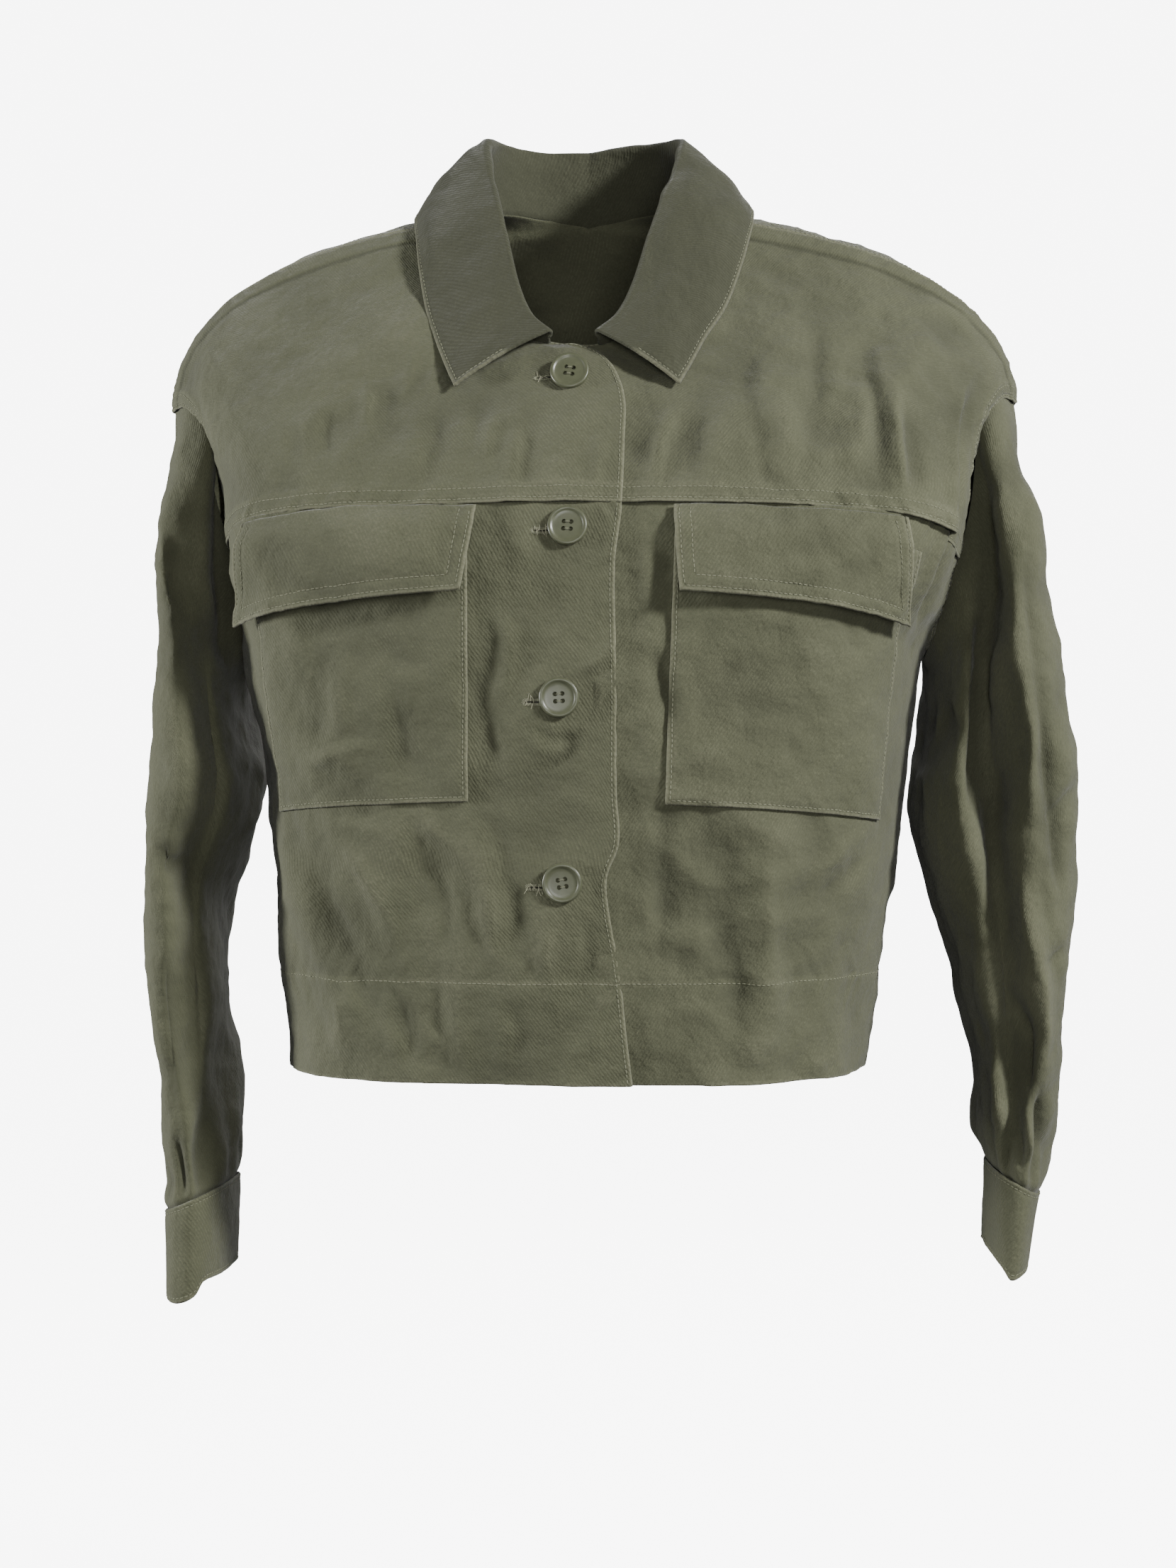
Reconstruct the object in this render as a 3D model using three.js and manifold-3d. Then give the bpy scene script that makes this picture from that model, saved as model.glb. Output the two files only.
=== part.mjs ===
// Cropped utility jacket in cotton twill, in its worn, hollow form.
// Millimetres, +Z up, the front faces -Y and the wearer's left is +X.
// The origin is where the wearer's neck and shoulders carry the jacket.
import * as THREE from 'three';
import { mergeVertices } from 'three/addons/utils/BufferGeometryUtils.js';
import Module from 'manifold-3d';

const wasm = await Module();
wasm.setup();

// Cloth walls
const CLOTH = 1.4;
const POCKET_WALL = 1.5;
const FLAP_WALL = 2.0;
const COLLAR_WALL = 2.2;
const CUFF_WALL = 2.0;
const TRIM = 0.22; // each piece stops this short of its seam
const SEWN_GAP = 0.5; // clearance of a flap's sewn edge
const REST_GAP = 1; // clearance under a patch, whose facets cut across the folds below it

// Levels run from 0 at the hem to 1 at the shoulder seam. Past 1 is the back.
const UNDERARM_LEVEL = 0.5;
const YOKE_LEVEL = 1 - 105 / 360;
const NECK_LEVEL = 1 - 60 / 360;
const BACK_NECK_LEVEL = 0.955;
const SHOULDER_CROWN = 9; // the ridge stands above the forward shoulder seam

// Centre front and centre back lines: height, and distance from the middle plane
const FRONT_LINE = [
  { level: 0, z: -517, depth: 116 },
  { level: 0.115, z: -457, depth: 120 },
  { level: 0.3, z: -361, depth: 126 },
  { level: UNDERARM_LEVEL, z: -258, depth: 130 },
  { level: YOKE_LEVEL, z: -188, depth: 125 },
  { level: 0.777, z: -136, depth: 104 },
  { level: NECK_LEVEL, z: -92, depth: 74 },
];
const BACK_LINE = [
  { level: 0, z: -515, depth: 98 },
  { level: 0.3, z: -361, depth: 103 },
  { level: UNDERARM_LEVEL, z: -258, depth: 110 },
  { level: 0.7, z: -165, depth: 115 },
  { level: 0.85, z: -84, depth: 108 },
  { level: 0.92, z: -34, depth: 88 },
  { level: BACK_NECK_LEVEL, z: 2, depth: 60 },
];
// Side seam: half width on the wearer's right and left
const SIDE_SEAM = [
  { level: 0, z: -515, right: 177, left: 170 },
  { level: 0.115, z: -457, right: 182, left: 178 },
  { level: 0.3, z: -366, right: 191, left: 193 },
  { level: 0.42, z: -308, right: 199, left: 199 },
  { level: UNDERARM_LEVEL, z: -272, right: 205, left: 205 },
];
const SIDE_Y = 16;
// Roundness of each row: box 0 is an ellipse, slope is the fall of the shoulder
const ROW_SHAPE = [
  { level: 0, box: 0.035, slope: 0 },
  { level: UNDERARM_LEVEL, box: 0.055, slope: 0 },
  { level: YOKE_LEVEL, box: 0.075, slope: 0 },
  { level: NECK_LEVEL, box: 0.07, slope: 0.05 },
  { level: 1, box: 0.02, slope: 0.12 },
];
const NECK_HALF_WIDTH = 76;
const NECK_SIDE = { y: -12, z: -8 };

// Armhole loop: angle 0 at the shoulder, 90 in front, 180 under the arm, 270 behind
const ARMHOLE = [
  { angle: 0, right: 253, left: 261, y: 12, rightZ: -117, leftZ: -116 },
  { angle: 30, right: 240, left: 250, y: -12, rightZ: -118, leftZ: -117 },
  { angle: 60, right: 220, left: 234, y: -26, rightZ: -139, leftZ: -140 },
  { angle: 90, right: 211, left: 228, y: -28, rightZ: -187, leftZ: -193 },
  { angle: 120, right: 206, left: 217, y: -24, rightZ: -226, leftZ: -236 },
  { angle: 150, right: 203, left: 208, y: -8, rightZ: -259, leftZ: -263 },
  { angle: 180, right: 205, left: 205, y: SIDE_Y, rightZ: -272, leftZ: -272 },
  { angle: 210, right: 205, left: 206, y: 40, rightZ: -260, leftZ: -260 },
  { angle: 240, right: 209, left: 214, y: 53, rightZ: -229, leftZ: -229 },
  { angle: 270, right: 218, left: 224, y: 58, rightZ: -188, leftZ: -188 },
  { angle: 300, right: 231, left: 239, y: 54, rightZ: -149, leftZ: -149 },
  { angle: 330, right: 245, left: 253, y: 38, rightZ: -124, leftZ: -123 },
  { angle: 360, right: 253, left: 261, y: 12, rightZ: -117, leftZ: -116 },
];

// Front overlap
const EXTENSION = 29; // cloth past the centre front
const EXTENSION_CORNER = 44; // height of its rounded neck corner
const OVERLAP_SHIFT = 1.1; // the right front stands out and the left sinks by this
const OVERLAP_FADE = [32, 48];

// Large folds: each is a soft ridge, or a trough if its height is negative,
// from the place (across0, level0) to (across1, level1). Width is in across.
const FRONT_FOLDS = [
  { side: 'right', across0: 0.3, level0: 0.95, across1: 0.24, level1: 0.76, width: 0.05, height: -2.5 },
  { side: 'right', across0: 0.5, level0: 0.95, across1: 0.47, level1: 0.76, width: 0.05, height: 2 },
  { side: 'right', across0: 0.68, level0: 0.29, across1: 0.42, level1: 0.03, width: 0.07, height: 5 },
  { side: 'right', across0: 0.25, level0: 0.4, across1: 0.24, level1: 0.02, width: 0.05, height: -4 },
  { side: 'left', across0: 0.24, level0: 0.84, across1: 0.17, level1: 0.72, width: 0.04, height: 3 },
  { side: 'left', across0: 0.38, level0: 0.96, across1: 0.35, level1: 0.74, width: 0.05, height: -4 },
  { side: 'left', across0: 0.5, level0: 0.97, across1: 0.49, level1: 0.74, width: 0.045, height: 3 },
  { side: 'left', across0: 0.71, level0: 0.9, across1: 0.72, level1: 0.56, width: 0.035, height: 4 },
  { side: 'left', across0: 0.8, level0: 0.86, across1: 0.8, level1: 0.56, width: 0.04, height: -5 },
  { side: 'left', across0: 0.34, level0: 0.27, across1: 0.38, level1: 0.02, width: 0.07, height: 3 },
];
const BACK_FOLDS = [
  { side: 'right', across0: 0.76, level0: 0.9, across1: 0.72, level1: 0.5, width: 0.06, height: -5 },
  { side: 'left', across0: 0.76, level0: 0.88, across1: 0.73, level1: 0.46, width: 0.06, height: -5 },
  { side: 'right', across0: 0.42, level0: 0.6, across1: 0.36, level1: 0.05, width: 0.08, height: 4 },
  { side: 'left', across0: 0.44, level0: 0.55, across1: 0.4, level1: 0.05, width: 0.08, height: 4 },
];

// Sleeve sections, from the armhole (0) to the cuff seam (1). Outer and inner are
// distances from the middle plane, skew turns the front outwards.
const SLEEVE = {
  left: [
    { at: 0, outer: 261, inner: 205, outerZ: -116, innerZ: -272, front: -28, back: 58, skew: 0, groove: 0 },
    { at: 0.05, outer: 263, inner: 209, outerZ: -137, innerZ: -279, front: -44, back: 70, skew: 7, groove: 5 },
    { at: 0.15, outer: 269, inner: 209, outerZ: -180, innerZ: -293, front: -64, back: 80, skew: 12, groove: 15 },
    { at: 0.3, outer: 277, inner: 206, outerZ: -245, innerZ: -322, front: -67, back: 84, skew: 14, groove: 20 },
    { at: 0.46, outer: 290, inner: 201, outerZ: -322, innerZ: -362, front: -66, back: 80, skew: 13, groove: 16 },
    { at: 0.6, outer: 292, inner: 212, outerZ: -395, innerZ: -408, front: -63, back: 72, skew: 10, groove: 12 },
    { at: 0.75, outer: 289, inner: 223, outerZ: -468, innerZ: -462, front: -60, back: 64, skew: 6, groove: 9 },
    { at: 0.9, outer: 283, inner: 237, outerZ: -542, innerZ: -528, front: -54, back: 58, skew: 2, groove: 5 },
    { at: 1, outer: 274, inner: 243, outerZ: -590, innerZ: -573, front: -49, back: 54, skew: 0, groove: 2 },
  ],
  right: [
    { at: 0, outer: 253, inner: 205, outerZ: -117, innerZ: -272, front: -28, back: 58, skew: 0, groove: 0 },
    { at: 0.05, outer: 252, inner: 209, outerZ: -138, innerZ: -279, front: -43, back: 70, skew: 4, groove: 2 },
    { at: 0.15, outer: 251, inner: 210, outerZ: -183, innerZ: -293, front: -66, back: 82, skew: 6, groove: 4 },
    { at: 0.3, outer: 252, inner: 207, outerZ: -250, innerZ: -322, front: -70, back: 88, skew: 7, groove: 5 },
    { at: 0.46, outer: 256, inner: 203, outerZ: -328, innerZ: -364, front: -70, back: 86, skew: 6, groove: 5 },
    { at: 0.6, outer: 260, inner: 220, outerZ: -398, innerZ: -412, front: -67, back: 78, skew: 3, groove: 4 },
    { at: 0.75, outer: 259, inner: 222, outerZ: -472, innerZ: -470, front: -62, back: 68, skew: 2, groove: 3 },
    { at: 0.9, outer: 253, inner: 217, outerZ: -550, innerZ: -540, front: -56, back: 60, skew: 1, groove: 2 },
    { at: 1, outer: 252, inner: 214, outerZ: -604, innerZ: -588, front: -52, back: 56, skew: 0, groove: 1 },
  ],
};
const SLEEVE_BOX = 0.02;
const GROOVE_ANGLE = { left: 107, right: 122 };
const GROOVE_WIDTH = 19; // degrees
const SLEEVE_ROWS = [0, 0.025, 0.055, 0.1, 0.16, 0.24, 0.33, 0.42, 0.51, 0.6, 0.7, 0.8, 0.9, 1];
const HEAD_BLEND = 0.14; // the armhole's own shape fades out over this part

// Cuff sections, from the sleeve to the open end, in the same columns
const CUFF = {
  left: [
    { at: 0, outer: 274, inner: 243, outerZ: -590, innerZ: -573, front: -49, back: 54, skew: 0, groove: 2 },
    { at: 1, outer: 266, inner: 242, outerZ: -641, innerZ: -622, front: -52, back: 55, skew: 0, groove: 0 },
  ],
  right: [
    { at: 0, outer: 252, inner: 214, outerZ: -604, innerZ: -588, front: -52, back: 56, skew: 0, groove: 1 },
    { at: 1, outer: 251, inner: 215, outerZ: -654, innerZ: -634, front: -54, back: 56, skew: 0, groove: 0 },
  ],
};
const CUFF_VENT = -30; // degrees: the lap ends behind the outer side
const CUFF_LAP = 26; // degrees covered by both ends
const CUFF_RAMP = 40; // degrees over which the upper end rises
const CUFF_LIFT = 2.7;
const CUFF_STEPS = 30;

// Collar, a row for each station from its front end (0) to the centre back (1).
// Seam runs 0 to 1 along the front neckline and 1 to 2 along the back one. Right and
// left (across) and level (past 1 is the back) place the outer edge, lift raises it.
const COLLAR = [
  { at: 0, seam: 0.12, rollX: 13, rollY: -79, rollZ: -85, right: 0.154, left: 0.13, level: 0.803, lift: 2.4 },
  { at: 0.13, seam: 0.26, rollX: 25, rollY: -73, rollZ: -74, right: 0.168, left: 0.144, level: 0.82, lift: 2.4 },
  { at: 0.27, seam: 0.46, rollX: 34, rollY: -62, rollZ: -54, right: 0.132, left: 0.112, level: 0.875, lift: 2.6 },
  { at: 0.42, seam: 0.7, rollX: 43, rollY: -43, rollZ: -20, right: 0.092, left: 0.086, level: 0.924, lift: 3 },
  { at: 0.56, seam: 0.94, rollX: 54, rollY: -15, rollZ: 20, right: 0.073, left: 0.078, level: 0.978, lift: 5 },
  { at: 0.68, seam: 1.22, rollX: 59, rollY: 14, rollZ: 46, right: 0.09, left: 0.09, level: 1.01, lift: 6 },
  { at: 0.8, seam: 1.5, rollX: 48, rollY: 41, rollZ: 50, right: 0.13, left: 0.13, level: 1.036, lift: 5 },
  { at: 0.9, seam: 1.75, rollX: 27, rollY: 56, rollZ: 50, right: 0.115, left: 0.115, level: 1.052, lift: 4.5 },
  { at: 1, seam: 2, rollX: 0, rollY: 62, rollZ: 50, right: 0, left: 0, level: 1.058, lift: 4.5 },
];
const COLLAR_STATIONS = 19; // from the front end to the centre back
const COLLAR_SEAM_GAP = 1.2; // the shoulder ridge rises beside the seam
const ROLL_RADIUS = 2.5;
const LEAF_BULGE = 3;

// Pockets and flaps, by length of cloth from the centre front and by height there
const POCKETS = {
  right: { near: 57, far: 190, nearFlare: 0, farFlare: 0, top: -205, height: 151, farDrop: 4 },
  left: { near: 61, far: 203, nearFlare: -6, farFlare: -8, top: -205, height: 152, farDrop: 8 },
};
const FLAPS = {
  right: { near: 52, far: 197, nearFlare: 7, farFlare: 6, top: -191, height: 46, farDrop: 5 },
  left: { near: 60, far: 192, nearFlare: 3, farFlare: 5, top: -191, height: 47, farDrop: 4 },
};
const FLAP_LIFT = 6; // how far its lower edge stands off the pocket
const POCKET_BULGE = 2;

// Buttons
const BUTTONS = [
  { z: -111, aside: 1.5 }, // aside: from the centre front, towards the wearer's right
  { z: -202, aside: 0 },
  { z: -298, aside: 4.5 },
  { z: -402, aside: 3 },
];
const BUTTON_RADIUS = 11.3;
const BUTTON_HEIGHT = 3.4;
const BUTTON_RIM = 2.2;
const BUTTON_RECESS = 0.9;
const HOLE_RADIUS = 1.15;
const HOLE_SPREAD = 2.7;
const BUTTON_CLEARANCE = 0.35;
const CUFF_BUTTON_SCALE = 0.72;

const CLOTH_COLOUR = 0x5d6149;
const BUTTON_COLOUR = 0x5a5f4c;

const clamp = (x, low, high) => Math.min(Math.max(x, low), high);
const mix = (a, b, t) => a + (b - a) * t;
const radians = (degrees) => (degrees * Math.PI) / 180;
const smooth = (x, low, high) => {
  const t = clamp((x - low) / (high - low), 0, 1);
  return t * t * (3 - 2 * t);
};
const spread = (from, to, count) => Array.from({ length: count + 1 }, (_, i) => mix(from, to, i / count));

// One column of a table at a place, on a smooth curve through its rows
function column(rows, key, name, at) {
  const last = rows.length - 1;
  let i = 0;
  while (i < last - 1 && at > rows[i + 1][key]) i += 1;
  const slope = (j) => {
    const a = rows[Math.max(j - 1, 0)];
    const b = rows[Math.min(j + 1, last)];
    return (b[name] - a[name]) / (b[key] - a[key]);
  };
  const span = rows[i + 1][key] - rows[i][key];
  const t = clamp((at - rows[i][key]) / span, 0, 1);
  const t2 = t * t;
  const t3 = t2 * t;
  return (
    (2 * t3 - 3 * t2 + 1) * rows[i][name] +
    (t3 - 2 * t2 + t) * span * slope(i) +
    (3 * t2 - 2 * t3) * rows[i + 1][name] +
    (t3 - t2) * span * slope(i + 1)
  );
}

// Body surface. Every point is worked out on the +X side and mirrored last.

function armholePoint(side, angle) {
  const value = (name) => column(ARMHOLE, 'angle', name, ((angle % 360) + 360) % 360);
  return new THREE.Vector3(value(side), value('y'), value(`${side}Z`));
}

// Along the neckline: 0 at the centre front, 1 at the shoulder, 2 at the centre back
function necklinePoint(seam) {
  const front = seam <= 1;
  const a = radians(90 * (front ? seam : 2 - seam));
  const line = front ? FRONT_LINE : BACK_LINE;
  const middle = line[line.length - 1];
  const y = front ? -middle.depth : middle.depth;
  return new THREE.Vector3(
    NECK_HALF_WIDTH * Math.sin(a),
    mix(NECK_SIDE.y, y, Math.cos(a)),
    mix(NECK_SIDE.z, middle.z, Math.cos(a)),
  );
}

function centrePoint(half, level) {
  const front = half > 0;
  const neck = front ? NECK_LEVEL : BACK_NECK_LEVEL;
  if (level > neck) {
    const along = (level - neck) / (1 - neck);
    return necklinePoint(front ? along : 2 - along);
  }
  const line = front ? FRONT_LINE : BACK_LINE;
  const depth = column(line, 'level', 'depth', level);
  return new THREE.Vector3(0, front ? -depth : depth, column(line, 'level', 'z', level));
}

function edgePoint(side, half, level) {
  if (level > UNDERARM_LEVEL) return armholePoint(side, half * 360 * (1 - level));
  return new THREE.Vector3(
    column(SIDE_SEAM, 'level', side, level),
    SIDE_Y,
    column(SIDE_SEAM, 'level', 'z', level),
  );
}

function smoothBody(side, half, across, level) {
  const centre = centrePoint(half, level);
  const edge = edgePoint(side, half, level);
  const box = column(ROW_SHAPE, 'level', 'box', level);
  const slope = column(ROW_SHAPE, 'level', 'slope', level);
  const a = (across * Math.PI) / 2;
  const out = (Math.sin(a) + box * Math.sin(3 * a)) / (1 - box);
  const fall = 1 - (Math.cos(a) - box * Math.cos(3 * a)) / (1 - box);
  const reach = edge.x - centre.x;
  const rest = edge.z - centre.z + slope * reach;
  const point = new THREE.Vector3(
    centre.x + reach * out,
    mix(centre.y, edge.y, fall),
    centre.z - slope * reach * Math.abs(out) + rest * fall,
  );
  if (half < 0 && level > BACK_NECK_LEVEL) {
    const through = (1 - level) / (1 - BACK_NECK_LEVEL);
    point.z += SHOULDER_CROWN * Math.sin(Math.PI * through) * (1 - fall);
  }
  return point;
}

function foldHeight(folds, side, across, level) {
  let height = 0;
  for (const fold of folds) {
    if (fold.side !== side) continue;
    const along = (level - fold.level0) / (fold.level1 - fold.level0);
    const away = (across - mix(fold.across0, fold.across1, clamp(along, 0, 1))) / fold.width;
    const ends = smooth(along, -0.12, 0.25) * (1 - smooth(along, 0.75, 1.12));
    height += fold.height * ends * Math.exp(-away * away);
  }
  return height;
}

function bodyNormal(side, half, across, level) {
  const step = 0.004;
  const v = clamp(level, 0.01, 0.99);
  const du = smoothBody(side, half, across + step, v).sub(smoothBody(side, half, across - step, v));
  const dv = smoothBody(side, half, across, v + step).sub(smoothBody(side, half, across, v - step));
  return du.cross(dv).normalize().multiplyScalar(half);
}

function bodyPoint(side, half, across, level) {
  const point = smoothBody(side, half, across, level);
  const inland = smooth(Math.abs(point.x), ...OVERLAP_FADE) * (1 - smooth(Math.abs(across), 0.9, 1));
  let height = foldHeight(half > 0 ? FRONT_FOLDS : BACK_FOLDS, side, across, level) * inland;
  if (half > 0 && level < NECK_LEVEL + 0.05) {
    const shift = side === 'right' ? OVERLAP_SHIFT : -OVERLAP_SHIFT;
    const fade = (1 - smooth(point.x, ...OVERLAP_FADE)) * (1 - smooth(level, NECK_LEVEL, NECK_LEVEL + 0.05));
    height += shift * fade;
  }
  return point.addScaledVector(bodyNormal(side, half, across, level), height);
}

// Fraction across a row at a length of cloth from the centre front
function acrossAt(side, level, length) {
  const steps = 80;
  let walked = 0;
  let last = smoothBody(side, 1, 0, level);
  for (let i = 1; i <= steps; i += 1) {
    const next = smoothBody(side, 1, i / steps, level);
    const step = next.distanceTo(last);
    if (walked + step >= length) return (i - 1 + (length - walked) / step) / steps;
    walked += step;
    last = next;
  }
  return 1;
}

function levelAt(z) {
  let low = 0;
  let high = NECK_LEVEL;
  for (let i = 0; i < 40; i += 1) {
    const middle = (low + high) / 2;
    if (column(FRONT_LINE, 'level', 'z', middle) < z) low = middle;
    else high = middle;
  }
  return low;
}

// The direction in which both walls end at the shoulder seam, so that they don't cross
function shoulderFacing(side, across) {
  return bodyNormal(side, 1, across, 1).add(bodyNormal(side, -1, across, 1)).normalize();
}

// Sheets and walls

// One open sheet of triangles from grids of points[row][step]. Equal points are shared.
// A point that has a facing is moved along it, instead of along the sheet's own normal.
function sheetOf(grids, closed = false) {
  const points = [];
  const facings = [];
  const faces = [];
  const known = new Map();
  const indexOf = (p) => {
    const key = p.toArray().map((c) => Math.round(c * 1000)).join();
    if (!known.has(key)) {
      known.set(key, points.push(p.clone()) - 1);
      facings.push(p.facing);
    }
    return known.get(key);
  };
  for (const grid of grids) {
    const index = grid.map((row) => row.map(indexOf));
    const steps = grid[0].length;
    for (let i = 0; i < grid.length - 1; i += 1) {
      for (let j = 0; j < steps - (closed ? 0 : 1); j += 1) {
        const k = (j + 1) % steps;
        const [a, b, c, d] = [index[i][j], index[i][k], index[i + 1][k], index[i + 1][j]];
        if (a !== b && b !== c && a !== c) faces.push([a, b, c]);
        if (a !== c && c !== d && a !== d) faces.push([a, c, d]);
      }
    }
  }
  return { points, facings, faces };
}

function sheetNormals({ points, facings, faces }) {
  const normals = points.map(() => new THREE.Vector3());
  for (const [a, b, c] of faces) {
    const ab = points[b].clone().sub(points[a]);
    const ac = points[c].clone().sub(points[a]);
    const cross = ab.cross(ac);
    for (const i of [a, b, c]) normals[i].add(cross);
  }
  return normals.map((n, i) => {
    if (!facings[i]) return n.normalize();
    return facings[i].clone().multiplyScalar(Math.sign(facings[i].dot(n)));
  });
}

// A closed solid between two offsets of a sheet along its normals
function wallOf(sheet, from, to) {
  const normals = sheetNormals(sheet);
  const count = sheet.points.length;
  const lifted = (lift) => sheet.points.map((p, i) => p.clone().addScaledVector(normals[i], lift));
  const points = [...lifted(from), ...lifted(to)];
  const faces = [];
  const edges = new Map();
  for (const [a, b, c] of sheet.faces) {
    faces.push([a, b, c], [count + c, count + b, count + a]);
    for (const [p, q] of [[a, b], [b, c], [c, a]]) {
      if (edges.has(`${q},${p}`)) edges.delete(`${q},${p}`);
      else edges.set(`${p},${q}`, [p, q]);
    }
  }
  for (const [p, q] of edges.values()) faces.push([q, p, count + p], [q, count + p, count + q]);
  return { points, faces };
}

function geometryOf({ points, faces }, mirror = false) {
  const placed = points.map((p) => new THREE.Vector3(mirror ? -p.x : p.x, p.y, p.z));
  let volume = 0;
  for (const [a, b, c] of faces) volume += placed[a].dot(placed[b].clone().cross(placed[c]));
  const index = faces.flatMap(([a, b, c]) => (volume > 0 ? [a, b, c] : [a, c, b]));
  const geometry = new THREE.BufferGeometry();
  geometry.setAttribute('position', new THREE.Float32BufferAttribute(placed.flatMap((p) => p.toArray()), 3));
  geometry.setIndex(index);
  return geometry;
}

// Moves one edge of a grid a little way towards its inside
function trimEdge(grid, edge, amount = TRIM) {
  const rows = grid.length;
  const steps = grid[0].length;
  const pull = (point, towards) => {
    point.addScaledVector(towards.clone().sub(point).normalize(), amount);
  };
  if (edge === 'bottom') grid[0].forEach((p, j) => pull(p, grid[1][j]));
  if (edge === 'top') grid[rows - 1].forEach((p, j) => pull(p, grid[rows - 2][j]));
  if (edge === 'start') grid.forEach((row) => pull(row[0], row[1]));
  if (edge === 'end') grid.forEach((row) => pull(row[steps - 1], row[steps - 2]));
}

function mirrorPoint(p) {
  const mirrored = new THREE.Vector3(-p.x, p.y, p.z);
  if (p.facing) mirrored.facing = new THREE.Vector3(-p.facing.x, p.facing.y, p.facing.z);
  return mirrored;
}

// Gives the top row of a grid the shoulder's shared facing
function mitreShoulder(grid, side, acrosses) {
  grid[grid.length - 1].forEach((p, j) => {
    p.facing = shoulderFacing(side, acrosses[j]);
  });
}

const jacket = new THREE.Group();
jacket.name = 'cropped_jacket';

function addPiece(name, geometry, colour = CLOTH_COLOUR, roughness = 0.92) {
  geometry.computeVertexNormals();
  const material = new THREE.MeshStandardMaterial({ color: colour, roughness, metalness: 0 });
  const mesh = new THREE.Mesh(geometry, material);
  mesh.name = name;
  jacket.add(mesh);
}

// Fronts: a lower part and a yoke on each side

// How far a front reaches past the centre front, with a rounded neck corner
function extensionAt(level) {
  if (level >= NECK_LEVEL) return 0;
  const neck = FRONT_LINE[FRONT_LINE.length - 1].z;
  const below = (neck - column(FRONT_LINE, 'level', 'z', level)) / EXTENSION_CORNER;
  return below >= 1 ? EXTENSION : EXTENSION * Math.sqrt(1 - (1 - below) ** 2);
}

function frontGrid(side, levels, steps) {
  return levels.map((level) => {
    const start = -acrossAt(side, level, extensionAt(level));
    return spread(start, 1, steps).map((across) => bodyPoint(side, 1, across, level));
  });
}

const LOWER_LEVELS = [...spread(0, UNDERARM_LEVEL, 11), ...spread(UNDERARM_LEVEL, YOKE_LEVEL, 5).slice(1)];
const UPPER_LEVELS = spread(YOKE_LEVEL, 1, 14);
const BACK_LEVELS = [
  ...spread(0, UNDERARM_LEVEL, 9),
  ...spread(UNDERARM_LEVEL, BACK_NECK_LEVEL, 9).slice(1),
  ...spread(BACK_NECK_LEVEL, 1, 5).slice(1),
];
const FRONT_STEPS = 14;
const BACK_STEPS = 11;

function addFronts(side) {
  const lower = frontGrid(side, LOWER_LEVELS, FRONT_STEPS);
  for (const edge of ['top', 'end']) trimEdge(lower, edge);
  addPiece(`front_${side}`, geometryOf(wallOf(sheetOf([lower]), 0, -CLOTH), side === 'right'));
  const upper = frontGrid(side, UPPER_LEVELS, FRONT_STEPS);
  for (const edge of ['bottom', 'top', 'end']) trimEdge(upper, edge);
  mitreShoulder(upper, side, spread(0, 1, FRONT_STEPS));
  addPiece(`front_yoke_${side}`, geometryOf(wallOf(sheetOf([upper]), 0, -CLOTH), side === 'right'));
}

// The back is cut in one piece, from armhole to armhole
function addBack() {
  const halfGrid = (side) =>
    BACK_LEVELS.map((level) => spread(0, 1, BACK_STEPS).map((across) => bodyPoint(side, -1, across, level)));
  const right = halfGrid('right');
  const left = halfGrid('left');
  for (const grid of [right, left]) for (const edge of ['top', 'end']) trimEdge(grid, edge);
  mitreShoulder(right, 'right', spread(0, 1, BACK_STEPS));
  mitreShoulder(left, 'left', spread(0, 1, BACK_STEPS));
  const mirrored = right.map((row) => row.map(mirrorPoint).reverse());
  addPiece('back', geometryOf(wallOf(sheetOf([mirrored, left]), 0, CLOTH)));
}

// Sleeves and cuffs

function sectionPoint(rows, at, angle, grooveAngle) {
  const value = (name) => column(rows, 'at', name, at);
  const a = radians(angle);
  const out = (Math.cos(a) - SLEEVE_BOX * Math.cos(3 * a)) / (1 - SLEEVE_BOX);
  const forward = (Math.sin(a) + SLEEVE_BOX * Math.sin(3 * a)) / (1 - SLEEVE_BOX);
  const middle = (value('front') + value('back')) / 2;
  const away = ((((angle % 360) + 360) % 360) - grooveAngle) / GROOVE_WIDTH;
  const groove = value('groove') * Math.exp(-away * away);
  return new THREE.Vector3(
    mix(value('inner'), value('outer'), (1 + out) / 2) + value('skew') * forward,
    mix(middle, forward > 0 ? value('front') : value('back'), Math.abs(forward)) + groove,
    mix(value('innerZ'), value('outerZ'), (1 + out) / 2),
  );
}

function sleevePoint(side, at, angle) {
  const rows = SLEEVE[side];
  const point = sectionPoint(rows, at, angle, GROOVE_ANGLE[side]);
  const head = armholePoint(side, angle).sub(sectionPoint(rows, 0, angle, GROOVE_ANGLE[side]));
  return point.addScaledVector(head, 1 - smooth(at, 0, HEAD_BLEND));
}

// The angles of the panels' own armhole points, so the seam's two edges run together
const FRONT_ANGLES = [...LOWER_LEVELS, ...UPPER_LEVELS.slice(1)]
  .filter((level) => level >= UNDERARM_LEVEL)
  .map((level) => 360 * (1 - level))
  .reverse();
const BACK_ANGLES = BACK_LEVELS.filter((level) => level > UNDERARM_LEVEL && level < 1).map((level) => 360 * level);
const RING_ANGLES = [...FRONT_ANGLES, ...BACK_ANGLES];

function addSleeve(side) {
  const grid = SLEEVE_ROWS.map((at) => RING_ANGLES.map((angle) => sleevePoint(side, at, angle)));
  for (const edge of ['bottom', 'top']) trimEdge(grid, edge, TRIM + 0.1);
  addPiece(`sleeve_${side}`, geometryOf(wallOf(sheetOf([grid], true), 0, -CLOTH), side === 'right'));
}

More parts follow.
